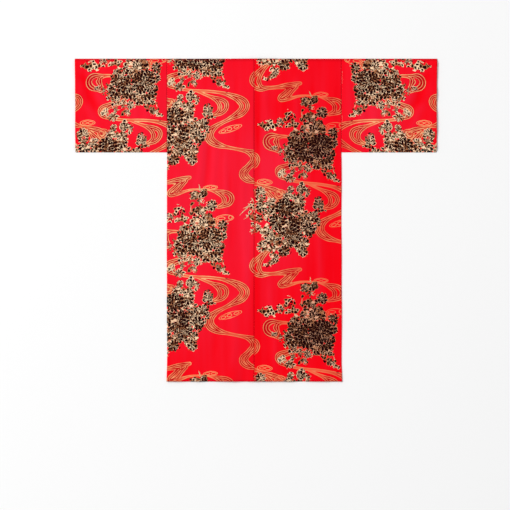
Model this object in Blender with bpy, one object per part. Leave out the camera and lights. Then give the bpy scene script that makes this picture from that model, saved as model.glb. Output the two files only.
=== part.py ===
"""A yukata laid flat, face down, so that its back is uppermost. Units are metres and +Z is up.

X runs from the wearer's left cuff to the right one, and Y from the hem to the shoulder fold.
The origin is below the middle of the garment, on the surface that it lies on.
Each piece of cloth is a thin wall. Its middle surface is worked out on a grid, and then thickened.
"""

from collections import namedtuple
from math import cos, pi, radians, sin

import bpy
import numpy as np

# Overall sizes
SPAN = 1.280
LENGTH = 1.140
BACK_WIDTH = 0.308
BODY_CENTRE_X = -0.006

# Cloth and how closely the pieces lie
CLOTH = 0.0010
COLLAR_CLOTH = 0.0020
GAP = 0.0003

# Sleeves
SLEEVE_DROP = 0.331
SLEEVE_PUFF = 0.0008

# Fronts, overlap panels and collar
FRONT_WIDTH = 0.260
FRONT_OVERLAP = 0.0925
NECK_HALF_WIDTH = 0.085
COLLAR_WIDTH = 0.055
COLLAR_END = 0.620
NECK_TURN_IN = 0.002
TIP_WIDTH = 0.004

# The way that the right front climbs over the edge of the left one
CLIMB_MARGIN = 0.012
CLIMB_WIDTH = 0.030
RAISED_HALF_WIDTH = 0.106
RAISED_SLOPE = 0.070

FOLD_STEPS = 4
SMOOTH_ANGLE = radians(35)

TOP_Y = LENGTH / 2
OVERLAP_SEAM = BACK_WIDTH - FRONT_WIDTH
COLLAR_SLANT = (NECK_HALF_WIDTH + FRONT_OVERLAP - COLLAR_WIDTH) / COLLAR_END
OVERLAP_TOP = (NECK_HALF_WIDTH - OVERLAP_SEAM) / COLLAR_SLANT
SIDE_SEAM_TOP = SLEEVE_DROP + 0.002
PRINT_RED = (1.0, 0.006, 0.022, 1.0)
CLOTH_ROUGHNESS = 0.72

# How far below the shoulder the garment's rows lie
ROWS_BELOW_SHOULDER = (
    0.0, 0.025, 0.055, 0.080, 0.090, 0.130, 0.140, OVERLAP_TOP, 0.220, 0.265, 0.300,
    SLEEVE_DROP, SIDE_SEAM_TOP, 0.380, 0.440, 0.500, 0.560, COLLAR_END - GAP, COLLAR_END,
    0.640, 0.690, 0.700, 0.800, 0.900, 1.000, 1.090, LENGTH,
)

# Height of the right front's underside where it lies over the left one, and of the back's raised middle
LayHeight = namedtuple("LayHeight", "below_shoulder right_front back_rise")
LAY_HEIGHTS = (
    LayHeight(0.000, 0.0000, 0.0010),
    LayHeight(0.080, 0.0000, 0.0013),
    LayHeight(0.090, 0.0000, 0.0019),
    LayHeight(0.130, 0.0019, 0.0033),
    LayHeight(0.140, 0.0023, 0.0033),
    LayHeight(0.640, 0.0023, 0.0033),
    LayHeight(0.690, 0.0013, 0.0016),
    LayHeight(0.700, 0.0013, 0.0013),
    LayHeight(1.140, 0.0013, 0.0013),
)

# How far the cuff's edge lies inside the full span, by its share of the way down the sleeve
CuffRow = namedtuple("CuffRow", "share inset")
CUFF_ROWS = (
    CuffRow(0.00, 0.0000),
    CuffRow(0.28, 0.0012),
    CuffRow(0.52, 0.0020),
    CuffRow(0.80, 0.0012),
    CuffRow(0.94, 0.0020),
    CuffRow(0.985, 0.0040),
    CuffRow(1.00, 0.0065),
)

BACK_COLUMNS_AT_NECK = (0.0, 0.030, 0.060, 0.0835)
BACK_COLUMNS_AT_SHOULDER = (
    NECK_HALF_WIDTH, 0.100, 0.1125, 0.125, 0.140, 0.155, 0.170, 0.205, 0.240, 0.275, BACK_WIDTH,
)
OVERLAP_PANEL_COLUMNS = 12
SLEEVE_COLUMNS = 9
SLEEVE_ROWS = (0.0, 0.015, 0.06, 0.15, 0.28, 0.40, 0.52, 0.66, 0.80, 0.94, 0.985, 1.0)

# Thickness of the collar across its width, from its seam to its folded free edge
CollarColumn = namedtuple("CollarColumn", "share thickness")
COLLAR_COLUMNS = (
    CollarColumn(0.00, 1.00),
    CollarColumn(0.35, 1.00),
    CollarColumn(0.70, 1.00),
    CollarColumn(0.96, 1.00),
    CollarColumn(0.99, 0.74),
    CollarColumn(1.00, 0.36),
)


def clear_scene():
    for thing in list(bpy.data.objects):
        bpy.data.objects.remove(thing)


def printed_cotton(node):
    """A piece's own material, in the ground colour of the printed cotton."""
    material = bpy.data.materials.new(f"{node}_cotton")
    material.use_nodes = True
    shader = material.node_tree.nodes["Principled BSDF"]
    shader.inputs["Base Color"].default_value = PRINT_RED
    shader.inputs["Roughness"].default_value = CLOTH_ROUGHNESS
    shader.inputs["Metallic"].default_value = 0.0
    return material


def smoothstep(value):
    share = np.clip(value, 0.0, 1.0)
    return share * share * (3.0 - 2.0 * share)


def table_value(rows, key, field, at):
    """The field of a table's rows, between its rows in proportion to the key."""
    return np.interp(at, [getattr(r, key) for r in rows], [getattr(r, field) for r in rows])


def collar_seam(below, side):
    """X of the line where a front meets its collar: it slants from the neck past the centre."""
    return side * (NECK_HALF_WIDTH - COLLAR_SLANT * np.asarray(below))


def collar_free_edge(below, side):
    return collar_seam(below, side) - side * COLLAR_WIDTH


def left_front_reach(below):
    """X of the left front's outermost edge, which the right front climbs over."""
    return np.where(
        np.asarray(below) < COLLAR_END, collar_free_edge(below, -1), FRONT_OVERLAP
    )


def right_front_height(x, below):
    """Underside of the right front: raised over the left one, then down to the floor past its edge."""
    raised = table_value(LAY_HEIGHTS, "below_shoulder", "right_front", below)
    own_seam = np.where(np.asarray(below) < COLLAR_END, collar_seam(below, 1), -BACK_WIDTH)
    edge = np.maximum(left_front_reach(below), own_seam) + CLIMB_MARGIN
    return raised * (1.0 - smoothstep((x - edge) / CLIMB_WIDTH))


def front_height(x, below, side):
    """Underside of a front piece. The left front lies on the floor all over."""
    return right_front_height(x, below) if side > 0 else np.zeros(np.shape(x + below))


def back_height(x, below):
    """Underside of the back: close over the fronts, and raised over the middle where they overlap."""
    rise = table_value(LAY_HEIGHTS, "below_shoulder", "back_rise", below)
    spread = 1.0 - smoothstep((abs(x) - RAISED_HALF_WIDTH) / RAISED_SLOPE)
    return CLOTH + GAP + rise * spread


def placed(x, below, height):
    """A point from its distance to the centre seam, its distance below the shoulder and its height."""
    return (x + BODY_CENTRE_X, TOP_Y - below, height)


def solid(name, points, outward, faces, thickness):
    """A closed wall round a middle surface: both sides lie half the thickness off it along the
    outward directions, and each open edge is closed with a strip."""
    points = np.array(points, float)
    half = np.array(outward, float) * (np.broadcast_to(thickness, len(points))[:, None] / 2)
    count = len(points)
    edges = [(f[k], f[(k + 1) % len(f)]) for f in faces for k in range(len(f))]
    open_edges = sorted(set(edges) - {(b, a) for a, b in edges})
    shell = [tuple(f) for f in faces]
    shell += [tuple(i + count for i in reversed(f)) for f in faces]
    shell += [(b, a, a + count, b + count) for a, b in open_edges]
    mesh = bpy.data.meshes.new(name)
    mesh.from_pydata(np.vstack([points + half, points - half]).tolist(), [], shell)
    first = mesh.polygons[0]
    if np.dot(first.normal, outward[faces[0][0]]) < 0:
        mesh.flip_normals()
    mesh.shade_smooth()
    mesh.set_sharp_from_angle(angle=SMOOTH_ANGLE)
    piece = bpy.data.objects.new(name, mesh)
    piece.data.materials.append(printed_cotton(name))
    bpy.context.scene.collection.objects.link(piece)
    return piece


def strip_faces(lines):
    """Quads between neighbouring lines of point numbers, all turning the same way."""
    return [
        (a[k], b[k], b[k + 1], a[k + 1])
        for a, b in zip(lines, lines[1:])
        for k in range(len(a) - 1)
    ]


class Surface:
    """A middle surface that is built up from points with their outward directions."""

    def __init__(self):
        self.points = []
        self.outward = []
        self.faces = []

    def add(self, point, outward):
        self.points.append(point)
        self.outward.append(outward)
        return len(self.points) - 1

    def fold_between(self, upper, lower, turn_out):
        """Point numbers of a half turn from an upper point down to a lower one, bulging along turn_out."""
        high, low = np.array(self.points[upper]), np.array(self.points[lower])
        centre, radius = (high + low) / 2, (high[2] - low[2]) / 2
        line = [upper]
        for step in range(1, FOLD_STEPS):
            angle = pi / 2 - pi * step / FOLD_STEPS
            out = np.array([turn_out[0] * cos(angle), turn_out[1] * cos(angle), sin(angle)])
            line.append(self.add(tuple(centre + radius * out), tuple(out)))
        return line + [lower]


def fold_reach(x, below, side):
    """How far a fold between back and front stands out past the ends of the two layers."""
    rise = back_height(x, below) - front_height(x, below, side)
    return rise / 2 + CLOTH / 2


def body_half(name, side):
    """Back and front of one side, cut as one length of cloth: folded over the shoulder, closed down
    the side below the armhole, and open at the neck, the armhole, the hem and the front edge."""
    body = Surface()
    columns = BACK_COLUMNS_AT_NECK + BACK_COLUMNS_AT_SHOULDER
    at_neck = len(BACK_COLUMNS_AT_NECK)
    seamed = [below > SLEEVE_DROP for below in ROWS_BELOW_SHOULDER]
    back, front = [], []
    for row, below in enumerate(ROWS_BELOW_SHOULDER):
        back_row, front_row = [], []
        side_reach = fold_reach(side * BACK_WIDTH, below, side) if seamed[row] else 0.0
        inner = max(OVERLAP_SEAM, side * float(collar_seam(below, side))) + GAP / 2
        for column, across in enumerate(columns):
            folded = row == 0 and column >= at_neck
            x = side * max(min(across, BACK_WIDTH - side_reach), GAP / 2)
            down = fold_reach(x, below, side) if folded else below
            height = back_height(x, below) + CLOTH / 2
            back_row.append(body.add(placed(x, down, height), (0, 0, 1)))
        for across in BACK_COLUMNS_AT_SHOULDER:
            share = (BACK_WIDTH - across) / (BACK_WIDTH - NECK_HALF_WIDTH)
            out = BACK_WIDTH - share * (BACK_WIDTH - inner)
            x = side * min(out, BACK_WIDTH - side_reach)
            down = fold_reach(side * across, below, side) if row == 0 else below
            height = float(front_height(x, below, side)) + CLOTH / 2
            front_row.append(body.add(placed(x, down, height), (0, 0, -1)))
        back.append(back_row)
        front.append(front_row)
    body.faces += strip_faces(back)
    body.faces += strip_faces([list(reversed(r)) for r in front])
    side_folds = [
        body.fold_between(back[row][-1], front[row][-1], (side, 0))
        for row in range(len(back))
        if seamed[row]
    ]
    body.faces += strip_faces(side_folds)
    shoulder_folds = [
        body.fold_between(upper, lower, (0, 1)) for upper, lower in zip(back[0][at_neck:], front[0])
    ]
    body.faces += strip_faces(shoulder_folds)
    return solid(name, body.points, body.outward, body.faces, CLOTH)


def overlap_panel(name, side):
    """The narrow panel sewn to a front's edge. It runs to a point under the collar's seam."""
    tip = OVERLAP_TOP + TIP_WIDTH / COLLAR_SLANT
    rows = [tip] + [below for below in ROWS_BELOW_SHOULDER if below > tip + GAP]
    panel = Surface()
    lines = []
    for below in rows:
        seamed = below < COLLAR_END
        edge = side * float(collar_seam(below, side)) + GAP / 2 if seamed else -FRONT_OVERLAP
        start = OVERLAP_SEAM - GAP / 2
        line = []
        for k in range(OVERLAP_PANEL_COLUMNS + 1):
            x = side * (start + (edge - start) * k / OVERLAP_PANEL_COLUMNS)
            height = float(front_height(x, below, side)) + CLOTH / 2
            line.append(panel.add(placed(x, below, height), (0, 0, -1)))
        lines.append(line)
    panel.faces = strip_faces(lines)
    return solid(name, panel.points, panel.outward, panel.faces, CLOTH)


def collar_sections():
    """The collar's cross-sections as (seam x, seam row, free x, free row), from the left front's end
    up round the back of the neck and down the right front."""
    end = COLLAR_END - 2 * GAP
    leg_rows = [end] + [b for b in reversed(ROWS_BELOW_SHOULDER) if COLLAR_WIDTH < b < end]
    sections = []
    for side, rows in ((-1, leg_rows), (1, leg_rows[::-1])):
        leg = [
            (float(collar_seam(b, side)) - side * GAP / 2, b, float(collar_free_edge(b, side)), b)
            for b in rows
        ]
        corner_seam = float(collar_seam(NECK_TURN_IN, side)) - side * GAP / 2
        corner_free = float(collar_free_edge(COLLAR_WIDTH, side))
        corner = [(corner_seam, NECK_TURN_IN, corner_free, COLLAR_WIDTH + NECK_TURN_IN)]
        sections += leg + corner if side < 0 else corner + leg
    middle = len(sections) // 2
    centre = (0.0, NECK_TURN_IN, 0.0, COLLAR_WIDTH + NECK_TURN_IN)
    return sections[:middle] + [centre] + sections[middle:]


def collar(name):
    """One long band, sewn to the fronts' slanting edges and turned down under the back at the neck."""
    band = Surface()
    thickness = []
    lines = []
    for seam_x, seam_row, free_x, free_row in collar_sections():
        line = []
        for column in COLLAR_COLUMNS:
            x = seam_x + (free_x - seam_x) * column.share
            below = seam_row + (free_row - seam_row) * column.share
            on_right_leg = seam_x > free_x and seam_row > COLLAR_WIDTH
            base = table_value(LAY_HEIGHTS, "below_shoulder", "right_front", seam_row)
            height = float(base) if on_right_leg else 0.0
            line.append(band.add(placed(x, below, height + COLLAR_CLOTH / 2), (0, 0, -1)))
            thickness.append(COLLAR_CLOTH * column.thickness)
        lines.append(line)
    band.faces = strip_faces(lines)
    return solid(name, band.points, band.outward, band.faces, np.array(thickness))


def sleeve(name, side):
    """A flattened tube: two layers joined by the fold along the shoulder and by the seam below."""
    tube = Surface()
    start = BACK_WIDTH + GAP
    full = SPAN / 2 - side * BODY_CENTRE_X
    lower_mid, upper_mid = CLOTH / 2, CLOTH * 1.5 + GAP
    reach = (upper_mid - lower_mid) / 2 + CLOTH / 2
    lines = []
    for k in range(SLEEVE_COLUMNS + 1):
        along = k / SLEEVE_COLUMNS
        upper, lower = [], []
        for share in SLEEVE_ROWS:
            inset = float(table_value(CUFF_ROWS, "share", "inset", share))
            x = side * (start + (full - inset - start) * along)
            below = reach + (SLEEVE_DROP - 2 * reach) * share
            puff = SLEEVE_PUFF * sin(pi * share) * sin(pi * along)
            upper.append(tube.add(placed(x, below, upper_mid + puff), (0, 0, 1)))
            lower.append(tube.add(placed(x, below, lower_mid), (0, 0, -1)))
        top_fold = tube.fold_between(upper[0], lower[0], (0, 1))
        low_fold = tube.fold_between(upper[-1], lower[-1], (0, -1))
        ring = upper + low_fold[1:-1] + lower[::-1] + top_fold[-2:0:-1]
        lines.append(ring + ring[:1])
    tube.faces = strip_faces(lines)
    return solid(name, tube.points, tube.outward, tube.faces, CLOTH)


def build():
    clear_scene()
    for side, word in ((-1, "left"), (1, "right")):
        body_half(f"body_{word}", side)
        overlap_panel(f"overlap_panel_{word}", side)
        sleeve(f"sleeve_{word}", side)
    collar("collar")


build()
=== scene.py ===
"""The finish of a yukata laid flat, face down, in red cotton printed with flowing water and flowers.

Every piece of cloth is a thin shell on its solid's form. The print lies on each piece's own UV map,
which is the place on the printed cloth in metres, so a piece shows the part that it was cut from.
"""

from collections import namedtuple
from functools import partialmethod

import bmesh
import bpy
import numpy as np
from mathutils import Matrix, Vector

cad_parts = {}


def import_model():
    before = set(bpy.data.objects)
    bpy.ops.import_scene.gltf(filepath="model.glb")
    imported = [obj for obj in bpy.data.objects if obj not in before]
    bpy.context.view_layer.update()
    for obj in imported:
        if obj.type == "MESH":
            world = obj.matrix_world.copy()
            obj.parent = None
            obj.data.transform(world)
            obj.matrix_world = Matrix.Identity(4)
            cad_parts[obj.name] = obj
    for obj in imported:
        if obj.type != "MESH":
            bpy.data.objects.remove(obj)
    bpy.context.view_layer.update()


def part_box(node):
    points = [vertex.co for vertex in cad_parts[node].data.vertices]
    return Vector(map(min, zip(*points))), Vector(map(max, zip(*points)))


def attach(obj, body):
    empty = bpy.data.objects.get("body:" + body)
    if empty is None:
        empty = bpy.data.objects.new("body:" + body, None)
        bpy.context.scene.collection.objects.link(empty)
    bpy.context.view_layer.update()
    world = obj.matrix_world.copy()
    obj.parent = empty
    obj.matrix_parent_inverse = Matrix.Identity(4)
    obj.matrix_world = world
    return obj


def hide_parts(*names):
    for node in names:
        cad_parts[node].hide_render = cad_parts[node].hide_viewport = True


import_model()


def rows_of(kind, values):
    """The rows of a table, each with the names of its columns."""
    return [kind(*value) for value in values]


# Sizes read from the frame
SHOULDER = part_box("body_left")[1].y
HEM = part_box("body_left")[0].y
LENGTH = SHOULDER - HEM
CENTRE_X = (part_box("body_left")[1].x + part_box("body_right")[0].x) / 2
BACK_WIDTH = CENTRE_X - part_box("body_left")[0].x
SLEEVE_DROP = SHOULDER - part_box("sleeve_left")[0].y
SPAN_LEFT = CENTRE_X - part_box("sleeve_left")[0].x
SPAN_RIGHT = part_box("sleeve_right")[1].x - CENTRE_X

# Sizes repeated from the solids
CLOTH = 0.0010
COLLAR_CLOTH = 0.0020
GAP = 0.0003
SLEEVE_PUFF = 0.0008
FRONT_WIDTH = 0.260
FRONT_OVERLAP = 0.0925
NECK_HALF_WIDTH = 0.085
COLLAR_WIDTH = 0.055
COLLAR_END = 0.620
NECK_TURN_IN = 0.002
CLIMB_MARGIN = 0.012
CLIMB_WIDTH = 0.030
RAISED_HALF_WIDTH = 0.106
RAISED_SLOPE = 0.070
OVERLAP_SEAM = BACK_WIDTH - FRONT_WIDTH
COLLAR_SLANT = (NECK_HALF_WIDTH + FRONT_OVERLAP - COLLAR_WIDTH) / COLLAR_END
OVERLAP_TOP = (NECK_HALF_WIDTH - OVERLAP_SEAM) / COLLAR_SLANT
TIP_WIDTH = 0.004
SIDE_START = 0.002
ROLL = CLOTH + GAP / 2
SLEEVE_START = BACK_WIDTH + GAP

LayHeight = namedtuple("LayHeight", "below_shoulder right_front back_rise")
LAY_HEIGHTS = rows_of(LayHeight, (
    (0.000, 0.0000, 0.0010),
    (0.080, 0.0000, 0.0013),
    (0.090, 0.0000, 0.0019),
    (0.130, 0.0019, 0.0033),
    (0.140, 0.0023, 0.0033),
    (0.640, 0.0023, 0.0033),
    (0.690, 0.0013, 0.0016),
    (0.700, 0.0013, 0.0013),
    (1.140, 0.0013, 0.0013),
))

CuffRow = namedtuple("CuffRow", "share inset")
CUFF_ROWS = rows_of(CuffRow, (
    (0.00, 0.0000), (0.28, 0.0012),
    (0.52, 0.0020), (0.80, 0.0012),
    (0.94, 0.0020), (0.985, 0.0022),
    (1.00, 0.0032),
))

# Fineness of the cloth's grids and the walls of the cloth
GRID = 0.0042
WALL = 0.0006
FOLD_STEPS = 6
PANEL_COLUMNS = 34
COLLAR_COLUMNS = 13
COLLAR_FOLD_AT = 0.98
WELD_DISTANCE = 0.00001
SHARP_EDGE = 0.9
ON_THE_FLOOR = 0.0002

# Relief of the laid cloth: creases, waves, lifted edges, hems and the grooves at seams
CREASE_FADE = 0.22
CREASE_BEND = 0.35
CREASE_BEND_RATE = 7.0
LOW_WAVE_HEIGHT = 0.0014
CALM_BY_ARMHOLE = 0.04
EDGE_LIFT = 0.0038
EDGE_LIFT_MEAN = 0.5
EDGE_REACH = 0.07
SLEEVE_EDGE_SHARE = 0.04
RIPPLE_HEIGHT = 0.00010
HEM_DEPTH = 0.014
HEM_RISE = 0.00035
HEM_STEP = 0.004
CUFF_DEPTH = 0.010
SEAM_DEPTH = 0.0005
ARMHOLE_DEPTH = 0.0001
SEAM_WIDTH = 0.0042

# Sine waves of the relief: their share, how fast they run across and down, and their shift
Wave = namedtuple("Wave", "share across down shift")
RIPPLES = rows_of(Wave, (
    (1.0, 71.0, 2.1, 0.6),
    (0.7, 133.0, -3.7, 2.0),
    (0.8, 29.0, 11.0, 0.0),
    (0.5, 47.0, -19.0, 1.3),
))
LOW_WAVES = rows_of(Wave, ((0.6, 38.0, 9.0, 0.8), (0.4, -21.0, 27.0, 2.1)))
EDGE_WAVES = rows_of(Wave, ((0.3, 61.0, 0.0, 0.6), (0.2, 97.0, 0.0, 2.0)))

# Print chart: one step of the chart on the cloth, and the two directions in which it repeats
CHART_STEP = 0.003533
REPEAT_ACROSS = 110.5
REPEAT_DROP = 93.0
REPEAT_DOWN = 186.0
CHART_CENTRE_SEAM = 254.25
CHART_SHOULDER = 58.7
CELL_LEFT = 124.0
CELL_TOP = 178.0

# Where on the printed cloth each piece is cut, from the centre seam and the shoulder
PANEL_CUT_AT = 0.210
COLLAR_CUT_AT = -0.120
SLEEVE_CUT_ACROSS = 66.5 * CHART_STEP
SLEEVE_CUT_DOWN = 160.2 * CHART_STEP
SLEEVE_SLANT = 0.090
BODY_SLANT = 0.050
BODY_SLANT_FROM = -0.222
BODY_RISE = 0.0035
MIRROR_ACROSS = 2 * (255.8 - CHART_CENTRE_SEAM) * CHART_STEP

# Fineness of the streams, how far outside the cell they are kept, and places worked out at a time
STREAM_SHARES = 28
WATER_MARGIN = 16.0
WATER_BATCH = 1500

# Flowing water, charted along the middle of each stream: across, down and full width in chart steps
WaterPoint = namedtuple("WaterPoint", "across down width")
LONG_STREAM = rows_of(WaterPoint, (
    (193.5, 68.0, 5.0), (184.5, 72.5, 6.0), (175.2, 75.2, 7.0), (169.0, 78.5, 9.0),
    (170.5, 83.6, 7.0), (177.0, 87.0, 4.0), (186.0, 89.6, 3.0), (197.1, 91.2, 3.0),
    (208.1, 92.2, 3.0), (222.4, 94.8, 3.6), (235.0, 99.4, 6.5), (242.2, 104.4, 9.5),
    (244.6, 109.4, 10.0), (240.9, 115.0, 9.0), (232.0, 119.8, 5.5), (224.0, 123.6, 4.2),
    (215.9, 127.6, 5.5), (209.6, 133.6, 9.0), (210.3, 140.4, 9.0), (216.9, 145.6, 7.0),
    (226.2, 148.8, 4.0), (237.7, 151.7, 3.4), (247.5, 154.4, 5.0), (254.4, 158.6, 9.5),
    (254.4, 164.0, 9.0), (248.8, 169.6, 7.0), (243.4, 176.0, 9.0), (246.8, 181.4, 8.0),
    (254.0, 184.7, 4.5), (258.0, 185.4, 3.0),
))
INNER_STREAM = rows_of(WaterPoint, (
    (197.1, 91.6, 2.4), (203.3, 94.6, 2.6), (212.4, 98.6, 4.0), (219.6, 102.6, 8.0),
    (223.3, 107.2, 11.5), (221.4, 112.4, 8.5), (216.2, 115.4, 5.0), (209.5, 116.8, 3.0),
))
HOOK_STREAM = rows_of(WaterPoint, (
    (159.5, 157.0, 3.0), (152.5, 163.0, 6.0), (147.0, 170.0, 9.0), (144.8, 176.6, 12.0),
    (150.0, 182.2, 7.0), (158.0, 182.0, 4.0), (166.5, 181.3, 4.0), (176.0, 180.0, 6.0),
    (184.5, 178.6, 5.6), (190.0, 177.4, 3.6),
))
RETURN_STREAM = rows_of(WaterPoint, (
    (185.5, 180.6, 5.0), (180.0, 184.4, 8.0), (176.0, 188.4, 9.0), (170.5, 192.6, 7.0),
    (177.0, 193.2, 4.0), (189.9, 190.0, 2.4), (203.3, 189.9, 1.8), (210.5, 191.2, 2.4),
    (218.0, 193.6, 5.4), (225.4, 197.0, 10.0), (228.0, 201.2, 13.0), (225.0, 205.8, 7.0),
    (217.5, 208.6, 3.6),
))
CRESCENT = rows_of(WaterPoint, (
    (177.0, 44.8, 3.0), (170.5, 44.6, 4.0), (164.5, 45.8, 8.0), (160.4, 49.6, 17.0),
    (164.4, 54.8, 10.0), (168.8, 58.8, 6.0),
))
FAN = rows_of(WaterPoint, (
    (146.5, 92.6, 2.4), (156.0, 95.4, 4.4), (165.0, 98.4, 5.6), (171.0, 101.4, 4.0),
))
REED = rows_of(WaterPoint, (
    (153.5, 282.0, 2.4), (158.0, 287.6, 5.4), (163.0, 294.0, 7.4), (167.0, 297.6, 6.0),
))
CURL = rows_of(WaterPoint, (
    (168.0, 284.4, 3.0), (172.4, 286.6, 5.0), (168.6, 290.6, 5.0), (165.4, 287.6, 3.6),
))
LITTLE_LOOP = rows_of(WaterPoint, (
    (209.0, 222.0, 3.0), (214.6, 221.4, 4.6), (215.2, 225.6, 4.0), (210.0, 226.6, 3.0),
))
STREAMS = (
    LONG_STREAM, INNER_STREAM, HOOK_STREAM, RETURN_STREAM, CRESCENT, FAN, REED, CURL, LITTLE_LOOP,
)

# Ovals of the eddies: the middle, half the length and width, and the turn in degrees
WaterRing = namedtuple("WaterRing", "across down half_long half_wide turn")
WATER_RINGS = rows_of(WaterRing, (
    (210.4, 188.5, 7.0, 2.2, 0.0),
    (207.4, 188.4, 2.4, 1.0, 0.0),
    (213.6, 188.6, 2.4, 1.1, 0.0),
    (224.8, 219.8, 8.7, 3.2, 0.0),
    (221.4, 219.9, 3.6, 1.4, 0.0),
    (230.4, 219.4, 1.8, 1.8, 0.0),
    (230.3, 131.0, 11.7, 2.8, 15.0),
    (223.4, 133.0, 2.4, 1.3, 15.0),
    (229.4, 131.2, 2.4, 1.5, 15.0),
    (236.4, 129.2, 2.6, 1.2, 15.0),
    (154.2, 90.0, 7.4, 2.7, -4.0),
    (151.4, 89.8, 2.4, 1.2, -4.0),
    (157.2, 90.2, 2.6, 1.3, -4.0),
))
RING_HALF_WIDTH = 0.36
LEAST_SHARE = 0.01

# Flower heads of one repeat, the lowest first: the middle, the radius and the share of dark petals
FlowerHead = namedtuple("FlowerHead", "across down radius dark")
HIGH_BUNCH = rows_of(FlowerHead, (
    (202.0, 226.0, 13.5, 0.52), (207.0, 255.0, 8.6, 0.37), (216.0, 258.5, 6.5, 0.33),
    (219.6, 248.0, 5.6, 0.54), (193.0, 234.0, 9.0, 0.63), (182.5, 251.0, 6.5, 0.84),
    (179.0, 244.0, 5.5, 0.84), (184.0, 230.0, 5.5, 0.80), (183.0, 246.5, 9.0, 0.80),
    (184.0, 237.0, 7.5, 0.84), (219.5, 236.5, 7.5, 0.97), (214.5, 249.0, 10.5, 0.97),
    (196.0, 244.0, 13.0, 0.94), (210.0, 240.0, 13.0, 0.97), (222.3, 226.6, 5.4, 0.97),
    (220.4, 270.2, 4.8, 0.58), (196.8, 261.5, 5.0, 0.53), (193.8, 268.4, 3.8, 0.53),
    (190.0, 262.2, 3.8, 0.60), (182.6, 264.6, 3.8, 0.60), (171.5, 268.2, 4.4, 0.43),
    (179.0, 272.4, 5.0, 0.58), (190.5, 283.0, 5.0, 0.58), (196.4, 285.4, 4.2, 0.63),
    (199.5, 211.0, 5.4, 0.78), (211.7, 206.6, 6.0, 0.80), (208.4, 216.4, 4.0, 0.84),
    (171.0, 216.5, 4.6, 0.63), (194.2, 195.6, 4.4, 0.80), (203.8, 193.8, 4.6, 0.84),
    (200.0, 201.0, 4.2, 0.80), (162.0, 242.0, 2.3, 0.97), (165.6, 243.2, 2.2, 0.97),
    (170.0, 245.4, 3.2, 0.97),
))
LOW_BUNCH = rows_of(FlowerHead, (
    (158.3, 307.5, 8.5, 0.32), (156.3, 326.8, 7.5, 0.30), (162.0, 336.2, 10.5, 0.32),
    (184.8, 311.1, 7.0, 0.58), (188.3, 305.6, 5.6, 0.58), (194.1, 315.6, 9.5, 0.76),
    (202.7, 311.1, 6.5, 0.78), (198.0, 323.6, 7.5, 0.96), (193.4, 336.4, 6.0, 0.68),
    (189.1, 341.6, 5.5, 0.63), (192.4, 345.6, 5.6, 0.68), (177.6, 337.0, 6.5, 0.78),
    (184.0, 329.4, 9.5, 0.97), (177.6, 320.4, 12.5, 0.97), (167.8, 315.6, 10.5, 0.84),
    (174.4, 301.4, 10.5, 0.97), (189.1, 300.0, 5.4, 0.84), (189.1, 292.6, 5.6, 0.78),
    (182.6, 291.4, 4.2, 0.63), (176.2, 289.0, 4.6, 0.68), (180.5, 283.6, 4.2, 0.73),
    (191.2, 283.0, 5.0, 0.92), (151.0, 300.4, 7.0, 0.80), (149.8, 287.0, 6.2, 0.66),
    (150.6, 293.4, 4.6, 0.66), (159.8, 296.4, 5.4, 0.62), (145.4, 321.2, 5.2, 0.51),
    (148.4, 312.4, 5.0, 0.66), (142.0, 327.2, 3.4, 0.55), (151.4, 340.6, 5.6, 0.51),
    (173.4, 344.6, 6.4, 0.80), (164.6, 351.2, 5.0, 0.48), (159.6, 357.2, 3.8, 0.48),
    (208.4, 299.6, 4.8, 0.97), (208.4, 293.8, 3.2, 0.97),
))

# Long leaves and bare twigs of one repeat: the middle, half the length and width, the turn in degrees
# and the darkness
Leaf = namedtuple("Leaf", "across down half_long half_wide turn dark")
LEAVES = rows_of(Leaf, (
    (191.0, 209.5, 4.8, 0.7, 84.0, 0.30),
    (134.1, 305.9, 8.6, 0.6, 42.0, 0.20),
    (138.6, 310.0, 8.4, 0.6, 49.0, 0.20),
    (139.8, 301.5, 5.0, 0.6, 14.0, 0.20),
    (142.4, 296.6, 4.6, 0.8, -60.0, 0.30),
    (136.0, 303.0, 4.4, 0.5, 12.0, 0.20),
    (199.8, 188.8, 4.6, 0.7, 100.0, 0.30),
    (197.0, 285.4, 3.6, 1.4, 30.0, 0.45),
))

# Sprays of small leaves and buds, in the same terms as the flower heads
SPRAYS = rows_of(FlowerHead, (
    (177.2, 206.6, 2.5, 0.60), (179.2, 211.0, 4.7, 0.65), (181.2, 216.0, 4.7, 0.65),
    (176.6, 217.6, 3.5, 0.65), (183.4, 218.8, 3.5, 0.65), (187.8, 219.6, 3.5, 0.65),
    (190.4, 205.8, 2.3, 0.70), (192.2, 211.6, 2.9, 0.65), (155.7, 220.4, 4.1, 0.65),
    (152.0, 219.4, 3.3, 0.65), (148.6, 218.4, 2.7, 0.60), (159.4, 219.6, 3.9, 0.70),
    (163.0, 220.8, 3.1, 0.65), (156.4, 224.4, 2.9, 0.60), (158.0, 216.8, 2.9, 0.60),
    (224.8, 274.4, 3.1, 0.70), (227.6, 277.0, 2.5, 0.60), (214.2, 266.8, 2.7, 0.65),
    (219.0, 263.6, 3.5, 0.65), (211.8, 303.6, 3.7, 0.95), (204.4, 297.6, 3.3, 0.97),
    (141.0, 299.4, 3.3, 0.65), (142.8, 304.6, 3.5, 0.80), (145.0, 309.6, 3.7, 0.70),
    (141.6, 313.8, 3.9, 0.62), (138.4, 309.4, 2.9, 0.60), (155.6, 359.6, 2.9, 0.60),
    (163.6, 356.4, 3.1, 0.65), (190.6, 271.8, 2.9, 0.70), (200.6, 258.4, 3.9, 0.70),
    (174.6, 240.0, 3.1, 0.97), (176.0, 252.6, 3.1, 0.90), (180.4, 259.0, 3.3, 0.97),
    (188.6, 257.6, 3.7, 0.80), (186.6, 295.6, 3.9, 0.70), (181.6, 297.0, 3.9, 0.75),
    (204.6, 305.6, 3.9, 0.90), (207.6, 316.0, 3.5, 0.90),
))

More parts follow.
